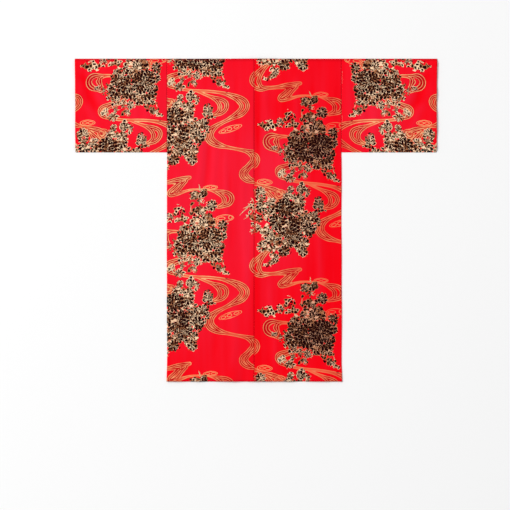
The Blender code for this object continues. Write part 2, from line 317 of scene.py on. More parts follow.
# Small leaves of a bunch: how its discs join, its edge and scatter, and the cells with their lines
LEAVES_JOIN = 0.75
LEAVES_EDGE = 1.1
LEAVES_SCATTER = 4.2
FARTHEST_OUT = 60.0
LEAF_CELL = 3.0
LEAF_LINE = 0.69
LEAF_LINE_BY_SHARE = 0.38
LEAF_RIBBED = 0.18
LEAF_DARK = 0.97
LEAF_OLIVE = 0.38
LEAF_OPEN = 0.80
FAR = 9.0

# Soft creases of the back: both ends from the centre seam and the shoulder, width and height
Crease = namedtuple("Crease", "across down across_end down_end width height")
BACK_CREASES = rows_of(Crease, (
    (-0.1440, 0.250, -0.1860, 0.500, 0.0090, -0.0009),
    (-0.1680, 0.240, -0.2080, 0.490, 0.0120, 0.0016),
    (-0.1240, 0.240, -0.1600, 0.520, 0.0100, 0.0013),
    (-0.1000, 0.300, -0.1030, 0.660, 0.0090, 0.0011),
    (-0.0820, 0.360, -0.0835, 0.720, 0.0080, -0.0007),
    (-0.0345, 0.360, -0.0370, 0.860, 0.0130, 0.0012),
    (-0.1120, 0.040, -0.1060, 0.300, 0.0120, 0.0009),
    (-0.0600, 0.030, -0.0640, 0.340, 0.0100, -0.0006),
    (-0.2120, 0.600, -0.1930, 0.930, 0.0140, 0.0010),
    (-0.1300, 0.720, -0.1420, 1.080, 0.0120, -0.0006),
    (-0.0660, 0.800, -0.0800, 1.120, 0.0130, 0.0011),
    (-0.2680, 0.380, -0.2620, 0.760, 0.0120, 0.0009),
    (0.0115, 0.020, 0.0125, 0.460, 0.0060, -0.0006),
    (0.0420, 0.060, 0.0400, 0.330, 0.0100, 0.0009),
    (0.0900, 0.250, 0.1010, 0.580, 0.0120, 0.0011),
    (0.1500, 0.040, 0.1420, 0.310, 0.0120, 0.0010),
    (0.2050, 0.060, 0.2160, 0.440, 0.0100, -0.0007),
    (0.2340, 0.540, 0.2220, 0.900, 0.0120, 0.0012),
    (0.0560, 0.760, 0.0700, 1.120, 0.0130, 0.0011),
    (0.1240, 0.860, 0.1180, 1.120, 0.0100, -0.0006),
    (0.2640, 0.280, 0.2580, 0.700, 0.0110, -0.0007),
))
FRONT_CREASES = rows_of(Crease, (
    (0.214, 0.460, 0.200, 0.820, 0.013, 0.0003),
    (0.110, 0.660, 0.128, 1.080, 0.015, 0.0003),
    (0.255, 0.560, 0.262, 1.020, 0.012, 0.0003),
))
# Creases of a sleeve, from its armhole outwards
SLEEVE_CREASES = rows_of(Crease, (
    (0.318, 0.040, 0.235, 0.200, 0.0150, -0.0012),
    (0.290, 0.030, 0.205, 0.190, 0.0130, 0.0013),
    (0.300, 0.150, 0.215, 0.290, 0.0140, 0.0011),
    (0.160, 0.060, 0.148, 0.240, 0.0110, -0.0007),
    (0.120, 0.110, 0.105, 0.300, 0.0120, 0.0010),
    (0.040, 0.030, 0.046, 0.290, 0.0090, -0.0007),
    (0.068, 0.040, 0.072, 0.300, 0.0110, 0.0009),
))

# Petals and long leaves, in chart steps and shares of a petal or of the random draws
PETAL_LENGTH = 3.3
PETAL_SCALLOP = 0.75
LEAF_SCALLOP = 0.95
LEAFY_BELOW = 5.3
PETAL_LINE = 0.82
LINE_BY_SHARE = 0.52
DARK_LEAST = 0.51
DARK_BY_SHARE = 0.50
PETAL_TWIST = 0.06
OPEN_OUTLINES = 0.35
VEINED = 0.15
PETAL_OLIVE_SHARE = 0.38
VEIN_HALF_WIDTH = 0.24
PETALS_AT_MIDDLE = 6.0
MORE_PETALS = 4.0
MORE_PETALS_FROM = (4.2, 7.4, 10.4)
TURN_BY_RADIUS = 3.7
SIDE_LINE_MOST = 0.2
VEIN_ENDS = 1.0
VEIN_DRAW = 7.0
OLIVE_DRAW = 13.0
OPEN_DRAW = 5.0
LEAF_VEINS = 3.2
LEAF_VEIN_SLANT = 0.9
LEAF_TOOTH = 0.30
TIP_TOOTH = 0.45
TIP_FROM = 0.80
TEETH_FROM_DARK = 0.35
WAVER = 3.0
WAVER_SCALE = 70.0

# Lines of the water in chart steps: half their width, their spacing and how many fit to the middle,
# and half the width below which a stream fills up with gold
LINE_HALF_WIDTH = 0.29
LINE_SPACING = 1.70
LINE_SHIFT = 0.235
LINES_FROM_BANK = 3.05
SWELL_SCALE = 38.0
SWELL = 0.6
FILLED_BELOW = 2.6
LENS_FROM = 2.55
GAP_SHARE = 0.55

# The weave, and the painted shade along the centre seam, the shoulder fold and the hem
THREAD_PITCH = 0.0008
WEAVE_STRENGTH = 0.25
WEAVE_HEIGHT = 0.0002
PAINTED_SEAM_SHADE_AT = 0.0022
PAINTED_SEAM_SHADE_WIDTH = 0.0060
PAINTED_SEAM_SHADE_DARKNESS = 0.60
PAINTED_FOLD_SHADE_REACH = 0.012
PAINTED_FOLD_SHADE_DARKNESS = 0.40
PAINTED_HEM_SHADE_AT = 0.0042
PAINTED_HEM_SHADE_REACH = 0.0034
PAINTED_HEM_SHADE_DARKNESS = 0.22

# Stitches and their twisted thread, and the runs of pale ones below the shoulder
STITCH_LENGTH = 0.0018
STITCH_RADIUS = 0.00022
STITCH_RISE = 2.0
STITCH_TIP = 0.35
STITCH_PITCH = 0.0120
STITCH_SIDES = 6
STITCH_STEPS = 6
TWIST_PITCH = 0.0004
TWIST_SHARE = 0.3
TWIST_STRENGTH = 0.4
TWIST_HEIGHT = 0.00005
FIBRE_SCALE = 2600.0
THREAD_ROUGHNESS = 0.55
FIBRE_ROUGHNESS = 0.2
PALE_PITCH = 0.0036
PALE_LENGTH = 0.0020
PALE_OFF_SEAM = 0.0022
PaleRun = namedtuple("PaleRun", "start end")
PALE_RUNS = (PaleRun(0.044, 0.086), PaleRun(0.202, 0.222))

# Camera, floor and light
VIEW_WIDTH = 1.802
VIEW_CENTRE = (-0.0035, -0.1235)
LENS = 120.0
SENSOR = 36.0
CAMERA_REACH = 100.0
FLOOR_SIDE = 40.0
FLOOR_ROUGHNESS = 0.9
WORLD_LIGHT = 0.55
WINDOW_PLACE = (-9.0, 5.0, 12.0)
WINDOW_SIZE = 5.0
WINDOW_POWER = 1660.0

# Painted light and shade of the red ground: the middle from the centre seam and the shoulder, the reach and
# the share
# Rosier where light is painted and, below zero, purer red where shade is painted; raised folds are painted
# rosier
SoftPatch = namedtuple("SoftPatch", "across down reach_across reach_down share")
PAINTED_TINT_BASE = 0.04
PAINTED_LIGHT_BY_FOLD = 280.0
PAINTED_LIGHT_PATCHES = rows_of(SoftPatch, (
    (-0.130, 0.400, 0.240, 0.420, 0.75),
    (-0.090, 0.950, 0.160, 0.260, 0.12),
    (-0.022, 0.560, 0.024, 0.340, 0.35),
    (0.120, 0.440, 0.055, 0.170, 0.60),
    (0.045, 0.440, 0.050, 0.220, 0.45),
    (0.010, 0.240, 0.010, 0.280, -0.55),
    (0.008, 0.860, 0.014, 0.340, -0.45),
    (0.290, 0.140, 0.030, 0.200, -0.40),
    (-0.470, 0.150, 0.200, 0.240, 0.52),
    (0.430, 0.150, 0.160, 0.240, 0.75),
    (-0.270, 0.640, 0.100, 0.200, 0.35),
    (-0.230, 0.920, 0.110, 0.120, 0.38),
    (0.085, 0.190, 0.080, 0.080, -0.30),
    (0.095, 0.660, 0.080, 0.090, 0.40),
))

# Where the print is darker or, below zero, paler, in the same terms as the patches above
INK_BASE = -0.35
INK_PATCHES = rows_of(SoftPatch, (
    (-0.190, 0.660, 0.120, 0.140, -1.70),
    (-0.250, 0.270, 0.100, 0.150, -0.95),
    (-0.450, 0.150, 0.160, 0.240, -0.75),
    (0.450, 0.170, 0.130, 0.240, -1.10),
    (-0.260, 0.900, 0.090, 0.130, 0.20),
    (0.200, 0.280, 0.120, 0.150, 1.10),
    (0.200, 0.960, 0.120, 0.150, 1.10),
    (0.020, 0.650, 0.050, 0.140, -0.60),
    (0.125, 0.590, 0.070, 0.070, 0.45),
    (-0.070, 1.020, 0.110, 0.110, 0.80),
    (-0.085, 0.800, 0.070, 0.070, 0.75),
    (0.226, 0.506, 0.060, 0.060, 0.35),
    (0.120, 0.095, 0.090, 0.035, 0.50),
    (0.125, 0.745, 0.060, 0.030, 0.50),
    (0.030, 0.700, 0.060, 0.040, 0.40),
    (-0.265, 1.100, 0.060, 0.050, 0.50),
    (-0.030, 1.125, 0.120, 0.030, 0.60),
    (-0.090, 0.200, 0.100, 0.080, -0.55),
    (-0.270, 0.925, 0.050, 0.080, 0.55),
    (0.206, 0.200, 0.060, 0.060, 0.80),
    (0.206, 0.866, 0.060, 0.060, 0.60),
    (0.290, 0.550, 0.150, 0.900, 0.75),
))
INK_SPREAD = 0.10
PALE_BY_INK = 0.60

# Clouds and streaks of the dye, and the cotton's sheen
CLOUD_SCALE = 5.0
STREAK_SCALES = (46.0, 3.0, 1.0)
CLOUD_SHARE = 0.9
COTTON_ROUGHNESS = 0.78
PRINT_SMOOTHER = 0.10
COTTON_SPECULAR = 0.03

# Colours of the dye and of the print; the rose also stands for painted light on the ground
DYE_RED = (0.900, 0.0005, 0.0065, 1.0)
ROSE_OF_DYE_AND_PAINTED_LIGHT = (0.895, 0.0120, 0.0360, 1.0)
WATER_GOLD = (0.860, 0.235, 0.092, 1.0)
WATER_PALE = (0.920, 0.440, 0.200, 1.0)
WATER_DEEP = (0.830, 0.120, 0.060, 1.0)
WATER_GAP = (0.230, 0.002, 0.004, 1.0)
# Painted shade: the deep red along the centre seam, and the dark red at the shoulder fold and above the hem
PAINTED_SEAM_SHADE_COLOUR = (0.760, 0.0006, 0.0060, 1.0)
PAINTED_FOLD_AND_HEM_SHADE_COLOUR = (0.160, 0.001, 0.004, 1.0)
PETAL_BLACK = (0.014, 0.0006, 0.0010, 1.0)
PETAL_CREAM = (0.970, 0.660, 0.420, 1.0)
PETAL_BROWN = (0.720, 0.360, 0.220, 1.0)
PETAL_OLIVE = (0.420, 0.158, 0.068, 1.0)
THREAD_DEEP = (0.420, 0.003, 0.010, 1.0)
THREAD_RED = (0.700, 0.010, 0.020, 1.0)
THREAD_CREAM = (0.860, 0.620, 0.480, 1.0)
THREAD_WHITE = (0.930, 0.820, 0.720, 1.0)
FLOOR_WHITE = (0.93, 0.93, 0.93, 1.0)

# What the print reads from each cloth's mesh: the group's socket, its kind and the attribute
PrintRead = namedtuple("PrintRead", "socket kind attribute")
PRINT_READS = rows_of(PrintRead, (
    ("Water Offset", "Vector", "water_offset"),
    ("Water Share", "Float", "water_share"),
    ("Bunch Depth", "Float", "bunch_depth"),
    ("Bunch Dark", "Float", "bunch_dark"),
    ("Ink", "Float", "ink"),
))

# Lie of the cloth, in the forms of the solids


def smoothstep(value):
    """A smooth step from 0 to 1: three squares of the share less two cubes."""
    share = np.clip(value, 0.0, 1.0)
    return share * share * (3.0 - 2.0 * share)


def table_value(rows, key, field, at):
    """The field of a table's rows, between its rows in proportion to the key."""
    return np.interp(at, [getattr(r, key) for r in rows], [getattr(r, field) for r in rows])


def collar_seam(below, side):
    """The line where a front meets its collar slants evenly from the neck past the centre."""
    return side * (NECK_HALF_WIDTH - COLLAR_SLANT * below)


def left_front_reach(below):
    """The left front's edge: the collar's free edge, and below the collar the overlap's edge."""
    return np.where(below < COLLAR_END, collar_seam(below, -1) + COLLAR_WIDTH, FRONT_OVERLAP)


def right_front_height(across, below):
    """The table's height over the left front, and a smooth step down to the floor past its edge."""
    raised = table_value(LAY_HEIGHTS, "below_shoulder", "right_front", below)
    own_seam = np.where(below < COLLAR_END, collar_seam(below, 1), -BACK_WIDTH)
    edge = np.maximum(left_front_reach(below), own_seam) + CLIMB_MARGIN
    return raised * (1.0 - smoothstep((across - edge) / CLIMB_WIDTH))


def front_height(across, below, side):
    """Height of a front: the left one lies on the floor, and the right one climbs over it."""
    return right_front_height(across, below) if side > 0 else np.zeros_like(across)


def back_height(across, below):
    """One cloth and a gap above the fronts, and the table's rise over the middle, eased to the sides."""
    rise = table_value(LAY_HEIGHTS, "below_shoulder", "back_rise", below)
    spread = 1.0 - smoothstep((np.abs(across) - RAISED_HALF_WIDTH) / RAISED_SLOPE)
    return CLOTH + GAP + rise * spread


def crease_height(creases, across, below):
    """Each crease is a bell curve across its own line, bent a little, that fades out at both ends."""
    total = np.zeros_like(across)
    for crease in creases:
        run_x, run_y = crease.across_end - crease.across, crease.down_end - crease.down
        length = np.hypot(run_x, run_y)
        x, y = across - crease.across, below - crease.down
        along = (x * run_x + y * run_y) / length**2
        off = (x * run_y - y * run_x) / length
        off += CREASE_BEND * crease.width * np.sin(CREASE_BEND_RATE * along)
        fade = smoothstep(along / CREASE_FADE) * smoothstep((1.0 - along) / CREASE_FADE)
        total += crease.height * fade * np.exp(-((off / crease.width) ** 2))
    return total


def waves(table, across, below=0.0):
    """A sum of sine waves, each in its own share."""
    total = 0.0
    for wave in table:
        total = total + wave.share * np.sin(wave.across * across + wave.down * below + wave.shift)
    return total


def ripple(across, below):
    """Four slow sine waves, long down the cloth and short across it."""
    return RIPPLE_HEIGHT * waves(RIPPLES, across, below)


def valley(distance, depth, width):
    """A soft groove: a bell curve of the distance to its line."""
    return -depth * np.exp(-((distance / width) ** 2))


def low_waves(across, below):
    """Low, wide waves of the laid cloth: two slanting sine waves, raised to stay above zero.

    They die away to nothing at the armholes, where the sleeves meet the body.
    """
    wave = 1.0 + waves(LOW_WAVES, across, below)
    from_armhole = np.abs(BACK_WIDTH - np.abs(across)) + np.maximum(below - SLEEVE_DROP, 0.0)
    return LOW_WAVE_HEIGHT * wave * smoothstep(from_armhole / CALM_BY_ARMHOLE)


def edge_waves(along, inward):
    """Lift of a free edge: uneven waves along it, which die away inwards."""
    wave = EDGE_LIFT_MEAN + waves(EDGE_WAVES, along)
    return EDGE_LIFT * wave * smoothstep(1.0 - inward / EDGE_REACH)


def hem_rise(below, edge, depth):
    """The cloth turned up along an edge: a smooth step up, as deep as the hem."""
    return HEM_RISE * smoothstep((below - (edge - depth)) / HEM_STEP)


# Print chart


def chart_from_cloth(across, below):
    """Chart place of a point given in metres from the centre seam and the shoulder."""
    return CHART_CENTRE_SEAM + across / CHART_STEP, CHART_SHOULDER + below / CHART_STEP


def wrapped(across, below):
    """Chart place moved by whole repeats into the one cell that holds both bunches of flowers."""
    column = np.floor((across - CELL_LEFT) / REPEAT_ACROSS)
    across = across - column * REPEAT_ACROSS
    below = below - column * REPEAT_DROP
    return across, below - REPEAT_DOWN * np.floor((below - CELL_TOP) / REPEAT_DOWN)


def smooth_stream(points):
    """A Catmull-Rom curve through a stream's points, each with its width, in fine even shares."""
    knots = np.array(points, float)
    knots = np.vstack([2 * knots[0] - knots[1], knots, 2 * knots[-1] - knots[-2]])
    t = np.linspace(0.0, 1.0, STREAM_SHARES, endpoint=False)[:, None, None]
    a, b, c, d = knots[:-3], knots[1:-2], knots[2:-1], knots[3:]
    curve = 0.5 * (
        2 * b + (c - a) * t + (2 * a - 5 * b + 4 * c - d) * t**2 + (3 * b - a - 3 * c + d) * t**3
    )
    return curve.transpose(1, 0, 2).reshape(-1, 3)


def water_of_one_cell():
    """Middle points and half widths of all the water that reaches into the cell, from every repeat."""
    one = np.vstack([smooth_stream(s) for s in STREAMS])
    one[:, 2] /= 2
    copies = [
        one + (i * REPEAT_ACROSS, i * REPEAT_DROP + j * REPEAT_DOWN, 0.0)
        for i in range(-2, 3)
        for j in range(-3, 4)
    ]
    water = np.vstack(copies)
    near = (
        (water[:, 0] > CELL_LEFT - WATER_MARGIN)
        & (water[:, 0] < CELL_LEFT + REPEAT_ACROSS + WATER_MARGIN)
        & (water[:, 1] > CELL_TOP - WATER_MARGIN)
        & (water[:, 1] < CELL_TOP + REPEAT_DOWN + WATER_MARGIN)
    )
    return water[near].astype(np.float32)


def water_at(across, below):
    """For each chart place, the offset from the nearest water's middle in shares of its half width.

    The nearest is the one with the smallest share. The third number is the half width itself.
    """
    x, y = (v.astype(np.float32) for v in wrapped(across, below))
    offsets = np.empty((len(x), 3), np.float32)
    for start in range(0, len(x), WATER_BATCH):
        part = slice(start, start + WATER_BATCH)
        dx = (x[part, None] - WATER[None, :, 0]) / WATER[None, :, 2]
        dy = (y[part, None] - WATER[None, :, 1]) / WATER[None, :, 2]
        nearest = np.argmin(dx * dx + dy * dy, axis=1)
        row = np.arange(len(nearest))
        offsets[part] = np.stack([dx[row, nearest], dy[row, nearest], WATER[nearest, 2]], axis=1)
    return offsets


def bunch_at(across, below):
    """For each chart place, how deep it lies in a bunch of flowers, and the share of dark leaves there.

    A disc's depth is its radius less the distance from its middle. The depths of all discs join
    softly, as the logarithm of the sum of their exponentials, which also weigh their dark shares.
    """
    x, y = (v.astype(np.float32) for v in wrapped(across, below))
    discs = np.array(HIGH_BUNCH + LOW_BUNCH + SPRAYS, np.float32)
    result = np.empty((len(x), 2), np.float32)
    for start in range(0, len(x), WATER_BATCH):
        part = slice(start, start + WATER_BATCH)
        out = np.hypot(x[part, None] - discs[:, 0], y[part, None] - discs[:, 1])
        weight = np.exp(LEAVES_JOIN * np.maximum(discs[:, 2] - out, -FARTHEST_OUT))
        total = weight.sum(axis=1)
        result[part] = np.stack([np.log(total) / LEAVES_JOIN, weight @ discs[:, 3] / total], axis=1)
    return result


WATER = water_of_one_cell()


# Cloth meshes


def spaced(start, end, step=GRID):
    """Even places from start to end, about one step apart, with both ends."""
    return np.linspace(start, end, int(np.ceil(abs(end - start) / step)) + 1)


def patches(table, across, below):
    """A sum of soft patches, each a bell across and down."""
    total = np.zeros(across.shape)
    for patch in table:
        off_across = (across - patch.across) / patch.reach_across
        off_down = (below - patch.down) / patch.reach_down
        total += patch.share * np.exp(-off_across**2 - off_down**2)
    return total


def painted_light_tint(across, below):
    """Painted light and shade of the ground, from 0 to 1: rosier in soft patches, each a bell across and
    down, and on raised folds.
    """
    out = np.abs(across) - SLEEVE_START
    on_back = crease_height(BACK_CREASES, across, below)
    folds = np.where(out < 0, on_back, crease_height(SLEEVE_CREASES, out, below))
    tint = PAINTED_TINT_BASE + PAINTED_LIGHT_BY_FOLD * folds + patches(PAINTED_LIGHT_PATCHES, across, below)
    return np.clip(tint, 0.0, 1.0)


def linked(name, data):
    """A new object that shows the data, put into the scene at the origin."""
    thing = bpy.data.objects.new(name, data)
    bpy.context.scene.collection.objects.link(thing)
    return thing


class Cloth:
    """The outer surface of a piece, made of grids that meet along equal edges."""

    def __init__(self):
        self.points, self.places, self.quads = [], [], []
        self.count = 0

    def lay(self, points, places, turned):
        """Adds a grid of points, with each one's place on the printed cloth."""
        rows, columns = points.shape[:2]
        number = self.count + np.arange(rows * columns).reshape(rows, columns)
        quads = np.stack(
            [number[:-1, :-1], number[1:, :-1], number[1:, 1:], number[:-1, 1:]], axis=-1
        ).reshape(-1, 4)
        self.points.append(points.reshape(-1, 3))
        self.places.append(places.reshape(-1, 2))
        self.quads.append(quads[:, ::-1] if turned else quads)
        self.count += rows * columns

    def piece(self, node, material):
        """Welds the grids into one mesh, gives it a thin wall and shows it in place of the node."""
        points, places = np.vstack(self.points), np.vstack(self.places)
        quads = np.vstack(self.quads)
        mesh = bpy.data.meshes.new(f"{node}_cloth")
        mesh.from_pydata(points.tolist(), [], quads.tolist())
        layer = mesh.uv_layers.new(name="print")
        layer.data.foreach_set("uv", (places[quads.ravel()] * (1.0, -1.0)).ravel())
        chart = chart_from_cloth(places[:, 0], places[:, 1])
        water, bunch = water_at(*chart), bunch_at(*chart)
        offset = mesh.attributes.new("water_offset", "FLOAT_VECTOR", "POINT")
        offset.data.foreach_set("vector", water.ravel())
        across, below = points[:, 0] - CENTRE_X, SHOULDER - points[:, 1]
        values = {
            "water_share": np.hypot(water[:, 0], water[:, 1]),
            "bunch_depth": bunch[:, 0],
            "bunch_dark": bunch[:, 1],
            "painted_light_tint": painted_light_tint(across, below),
            "ink": INK_BASE + patches(INK_PATCHES, across, below),
        }
        for label, value in values.items():
            mesh.attributes.new(label, "FLOAT", "POINT").data.foreach_set("value", value)
        weld(mesh)
        mesh.shade_smooth()
        mesh.set_sharp_from_angle(angle=SHARP_EDGE)
        piece = linked(f"{node}_cloth", mesh)
        piece.data.materials.append(material)
        thick = piece.modifiers.new("wall", "SOLIDIFY")
        thick.thickness, thick.offset, thick.use_even_offset = WALL, -1.0, False
        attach(piece, "root")
        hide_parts(node)
        return piece


def weld(mesh):
    """Merges the points that neighbouring grids share."""
    shape = bmesh.new()
    shape.from_mesh(mesh)
    bmesh.ops.remove_doubles(shape, verts=shape.verts, dist=WELD_DISTANCE)
    shape.to_mesh(mesh)
    shape.free()


def world(across, below, height):
    """World points from the distances to the centre seam, below the shoulder and above the floor."""
    across, below, height = np.broadcast_arrays(across, below, height)
    return np.stack([CENTRE_X + across, SHOULDER - below, height], axis=-1)


def rolled_edge(upper, lower, out):
    """Half circles from each upper point to its lower one, bulging along the outward direction."""
    angle = np.linspace(np.pi / 2, -np.pi / 2, FOLD_STEPS + 1)[None, :, None]
    middle, radius = (upper + lower)[:, None] / 2, (upper - lower)[:, None, 2:] / 2
    bulge = np.array(out, float) * np.cos(angle) + np.array((0.0, 0.0, 1.0)) * np.sin(angle)
    edge = middle + radius * bulge
    edge[:, 0], edge[:, -1] = upper, lower
    return edge


def between(first, last, steps):
    """Rows of values that run evenly from the first to the last."""
    share = np.linspace(0.0, 1.0, steps + 1)[None, :, None]
    return first[:, None] * (1 - share) + last[:, None] * share


# Pieces of the yukata


def back_surface(across, below):
    """Upper face of the back: its solid's height with ripples, creases, hem and the centre groove."""
    relief = ripple(across, below) + crease_height(BACK_CREASES, across, below)
    relief += hem_rise(below, LENGTH, HEM_DEPTH) + valley(across, SEAM_DEPTH, SEAM_WIDTH)
    relief += low_waves(across, below) + edge_waves(across, LENGTH - below)
    relief += valley(np.abs(across) - BACK_WIDTH, ARMHOLE_DEPTH, SEAM_WIDTH) * (below < SLEEVE_DROP)
    return back_height(across, below) + CLOTH + relief


def body_print(x, below, side):
    """Place on the print of a body piece: a little slanted on the left, and raised on the right."""
    fall = -BODY_SLANT * (x - BODY_SLANT_FROM) if side < 0 else -BODY_RISE
    return np.stack([x, below - fall + 0 * x], axis=-1)


def body_half(node, side, material):
    """Back and front of one side as one length of cloth, folded over the shoulder.

    The back's grid runs from the centre seam to the side, and the front's from its overlap seam or
    its collar to the side. Half circles join them along the shoulder and down the side.
    """
    cloth = Cloth()
    below = np.concatenate(
        [spaced(0.0, SLEEVE_DROP), spaced(SLEEVE_DROP + SIDE_START, LENGTH)]
    )[:, None]
    neck = spaced(GAP / 2, NECK_HALF_WIDTH)[:-1]
    shoulder = spaced(NECK_HALF_WIDTH, BACK_WIDTH)
    seamed = below[:, 0] > SLEEVE_DROP
    side_reach = np.where(below > SLEEVE_DROP, ROLL, 0.0)

    across = np.minimum(np.concatenate([neck, shoulder])[None, :], BACK_WIDTH - side_reach)
    x = side * across
    top = back_surface(x, below + 0 * x)
    folded = (below == 0) & (across >= NECK_HALF_WIDTH)
    down = np.where(folded, top / 2, below)
    back = world(x, down, top)
    back_place = body_print(x, down, side)
    cloth.lay(back, back_place, side < 0)

    inner = np.maximum(OVERLAP_SEAM, side * collar_seam(below, side)) + GAP / 2
    share = (BACK_WIDTH - shoulder[None, :]) / (BACK_WIDTH - NECK_HALF_WIDTH)
    x = side * np.minimum(BACK_WIDTH - share * (BACK_WIDTH - inner), BACK_WIDTH - side_reach)
    low = ON_THE_FLOOR + front_height(x, below + 0 * x, side)
    low += crease_height(FRONT_CREASES, np.abs(x), below + 0 * x)
    down = np.where(below == 0, top[:1, len(neck):] / 2, below)
    front = world(x, down, low)
    front_place = body_print(x, -down, side)
    cloth.lay(front, front_place, side > 0)

    side_fold = rolled_edge(back[seamed, -1], front[seamed, -1], (side, 0.0, 0.0))
    side_place = np.repeat(back_place[seamed, -1][:, None], FOLD_STEPS + 1, axis=1)
    cloth.lay(side_fold, side_place, side < 0)

    fold = rolled_edge(back[0, len(neck):], front[0], (0.0, 1.0, 0.0))
    fold_place = between(back_place[0, len(neck):], front_place[0], FOLD_STEPS)
    cloth.lay(fold, fold_place, side < 0)

    piece = cloth.piece(node, material)
    return piece


def overlap_panel(node, side, material):
    """The narrow panel's lower face, from the front's seam to the collar and, below it, to its own edge."""
    cloth = Cloth()
    tip = OVERLAP_TOP + TIP_WIDTH / COLLAR_SLANT
    below = np.concatenate([spaced(tip, COLLAR_END - GAP), spaced(COLLAR_END, LENGTH)])[:, None]
    start = OVERLAP_SEAM - GAP / 2
    edge = np.where(below < COLLAR_END, side * collar_seam(below, side) + GAP / 2, -FRONT_OVERLAP)
    share = np.linspace(0.0, 1.0, PANEL_COLUMNS + 1)[None, :]
    x = side * (start + (edge - start) * share)
    low = ON_THE_FLOOR + front_height(x, below + 0 * x, side)
    place = np.stack([PANEL_CUT_AT + x, -below + 0 * x], axis=-1)
    cloth.lay(world(x, below, low), place, side < 0)
    piece = cloth.piece(node, material)
    return piece


def collar_sections():
    """Seam and free edge of the collar, row by row, from the left front's end round to the right's."""
    end = COLLAR_END - 2 * GAP
    rows = spaced(COLLAR_WIDTH + 2 * GRID, end)
    legs = []
    for side, order in ((-1, rows[::-1]), (1, rows)):
        seam = collar_seam(order, side) - side * GAP / 2
        base = table_value(LAY_HEIGHTS, "below_shoulder", "right_front", order)
        height = base if side > 0 else np.zeros_like(order)
        legs.append(np.stack([seam, order, seam - side * COLLAR_WIDTH, order, height], axis=1))
    share = spaced(0.0, 1.0, GRID / NECK_HALF_WIDTH)
    corner_seam, corner_free = collar_seam(NECK_TURN_IN, 1), collar_seam(COLLAR_WIDTH, 1) - COLLAR_WIDTH
    neck = np.stack(
        [
            corner_seam * (2 * share - 1),
            np.full_like(share, NECK_TURN_IN),
            corner_free * (2 * share - 1),
            np.full_like(share, COLLAR_WIDTH + NECK_TURN_IN),
            np.zeros_like(share),
        ],
        axis=1,
    )
    return np.vstack([legs[0], neck, legs[1]])


def collar(node, material):
    """One long strip folded double: lower layer, rounded free edge and upper layer."""
    cloth = Cloth()
    rows = collar_sections()
    share = np.linspace(0.0, 1.0, COLLAR_COLUMNS + 1)[None, :]
    x = rows[:, 0:1] + (rows[:, 2:3] - rows[:, 0:1]) * share * COLLAR_FOLD_AT
    below = rows[:, 1:2] + (rows[:, 3:4] - rows[:, 1:2]) * share * COLLAR_FOLD_AT
    low = world(x, below, ON_THE_FLOOR + rows[:, 4:5])
    high = world(x, below, rows[:, 4:5] + COLLAR_CLOTH)
    along = np.concatenate([[0.0], np.cumsum(np.hypot(*np.diff(rows[:, 2:4], axis=0).T))])
    width = COLLAR_WIDTH * share
    low_place = np.stack(np.broadcast_arrays(COLLAR_CUT_AT + width, along[:, None]), axis=-1)
    high_place = np.stack(np.broadcast_arrays(COLLAR_CUT_AT - width, along[:, None]), axis=-1)
    out = rows[:, 2:4] - rows[:, 0:2]
    out = out / np.linalg.norm(out, axis=1, keepdims=True) * (1.0, -1.0)
    out = np.concatenate([out, np.zeros((len(out), 1))], axis=1)[:, None]
    edge = rolled_edge(high[:, -1], low[:, -1], out)
    cloth.lay(low, low_place, False)
    cloth.lay(high, high_place, True)
    cloth.lay(edge, between(high_place[:, -1], low_place[:, -1], FOLD_STEPS), True)
    piece = cloth.piece(node, material)
    # The strip is cut as long as its seam. Its free edge is shorter: it is mitred at the neck's corners.
    return piece


def span(side):
    """From the centre seam to the cuff of one side."""
    return SPAN_RIGHT if side > 0 else SPAN_LEFT


def sleeve_top(x, below, down_share, along, reach_out):
    """Height of a sleeve's upper layer: a low puff, with its relief fading out at the fold and seam."""
    out = np.abs(x) - SLEEVE_START
    shown = np.clip(np.minimum(down_share, 1 - down_share) / SLEEVE_EDGE_SHARE, 0, 1)
    relief = ripple(x, below) + crease_height(SLEEVE_CREASES, out, below)
    relief += low_waves(x, below) + edge_waves(below, reach_out - out)
    relief += hem_rise(out, reach_out, CUFF_DEPTH)
    relief += valley(out, ARMHOLE_DEPTH, SEAM_WIDTH)
    puff = SLEEVE_PUFF * np.sin(np.pi * down_share) * np.sin(np.pi * along)
    return 2 * CLOTH + GAP + puff + relief * shown


def sleeve(node, side, material):
    """A flattened tube: upper and lower layer, with half circles along the top fold and the seam."""
    cloth = Cloth()
    reach_out = span(side) - SLEEVE_START
    down_share = spaced(0.0, 1.0, GRID / SLEEVE_DROP)[:, None]
    along = spaced(0.0, 1.0, GRID / reach_out)[None, :]
    inset = table_value(CUFF_ROWS, "share", "inset", down_share)
    x = side * (SLEEVE_START + (reach_out - inset) * along)
    below = ROLL + (SLEEVE_DROP - 2 * ROLL) * down_share + 0 * x
    top = world(x, below, sleeve_top(x, below, down_share, along, reach_out))
    low = world(x, below, ON_THE_FLOOR)
    print_x = SLEEVE_CUT_ACROSS + (x if side < 0 else MIRROR_ACROSS - x)
    print_down = SLEEVE_CUT_DOWN - SLEEVE_SLANT * (np.abs(x) - SLEEVE_START)
    top_place = np.stack([print_x, print_down + below], axis=-1)
    low_place = np.stack([print_x, print_down - below], axis=-1)
    cloth.lay(top, top_place, side < 0)
    cloth.lay(low, low_place, side > 0)
    top_fold = rolled_edge(top[0], low[0], (0.0, 1.0, 0.0))
    cloth.lay(top_fold, between(top_place[0], low_place[0], FOLD_STEPS), side < 0)
    seam = rolled_edge(top[-1], low[-1], (0.0, -1.0, 0.0))
    cloth.lay(seam, np.repeat(top_place[-1][:, None], FOLD_STEPS + 1, axis=1), side > 0)
    piece = cloth.piece(node, material)
    return piece


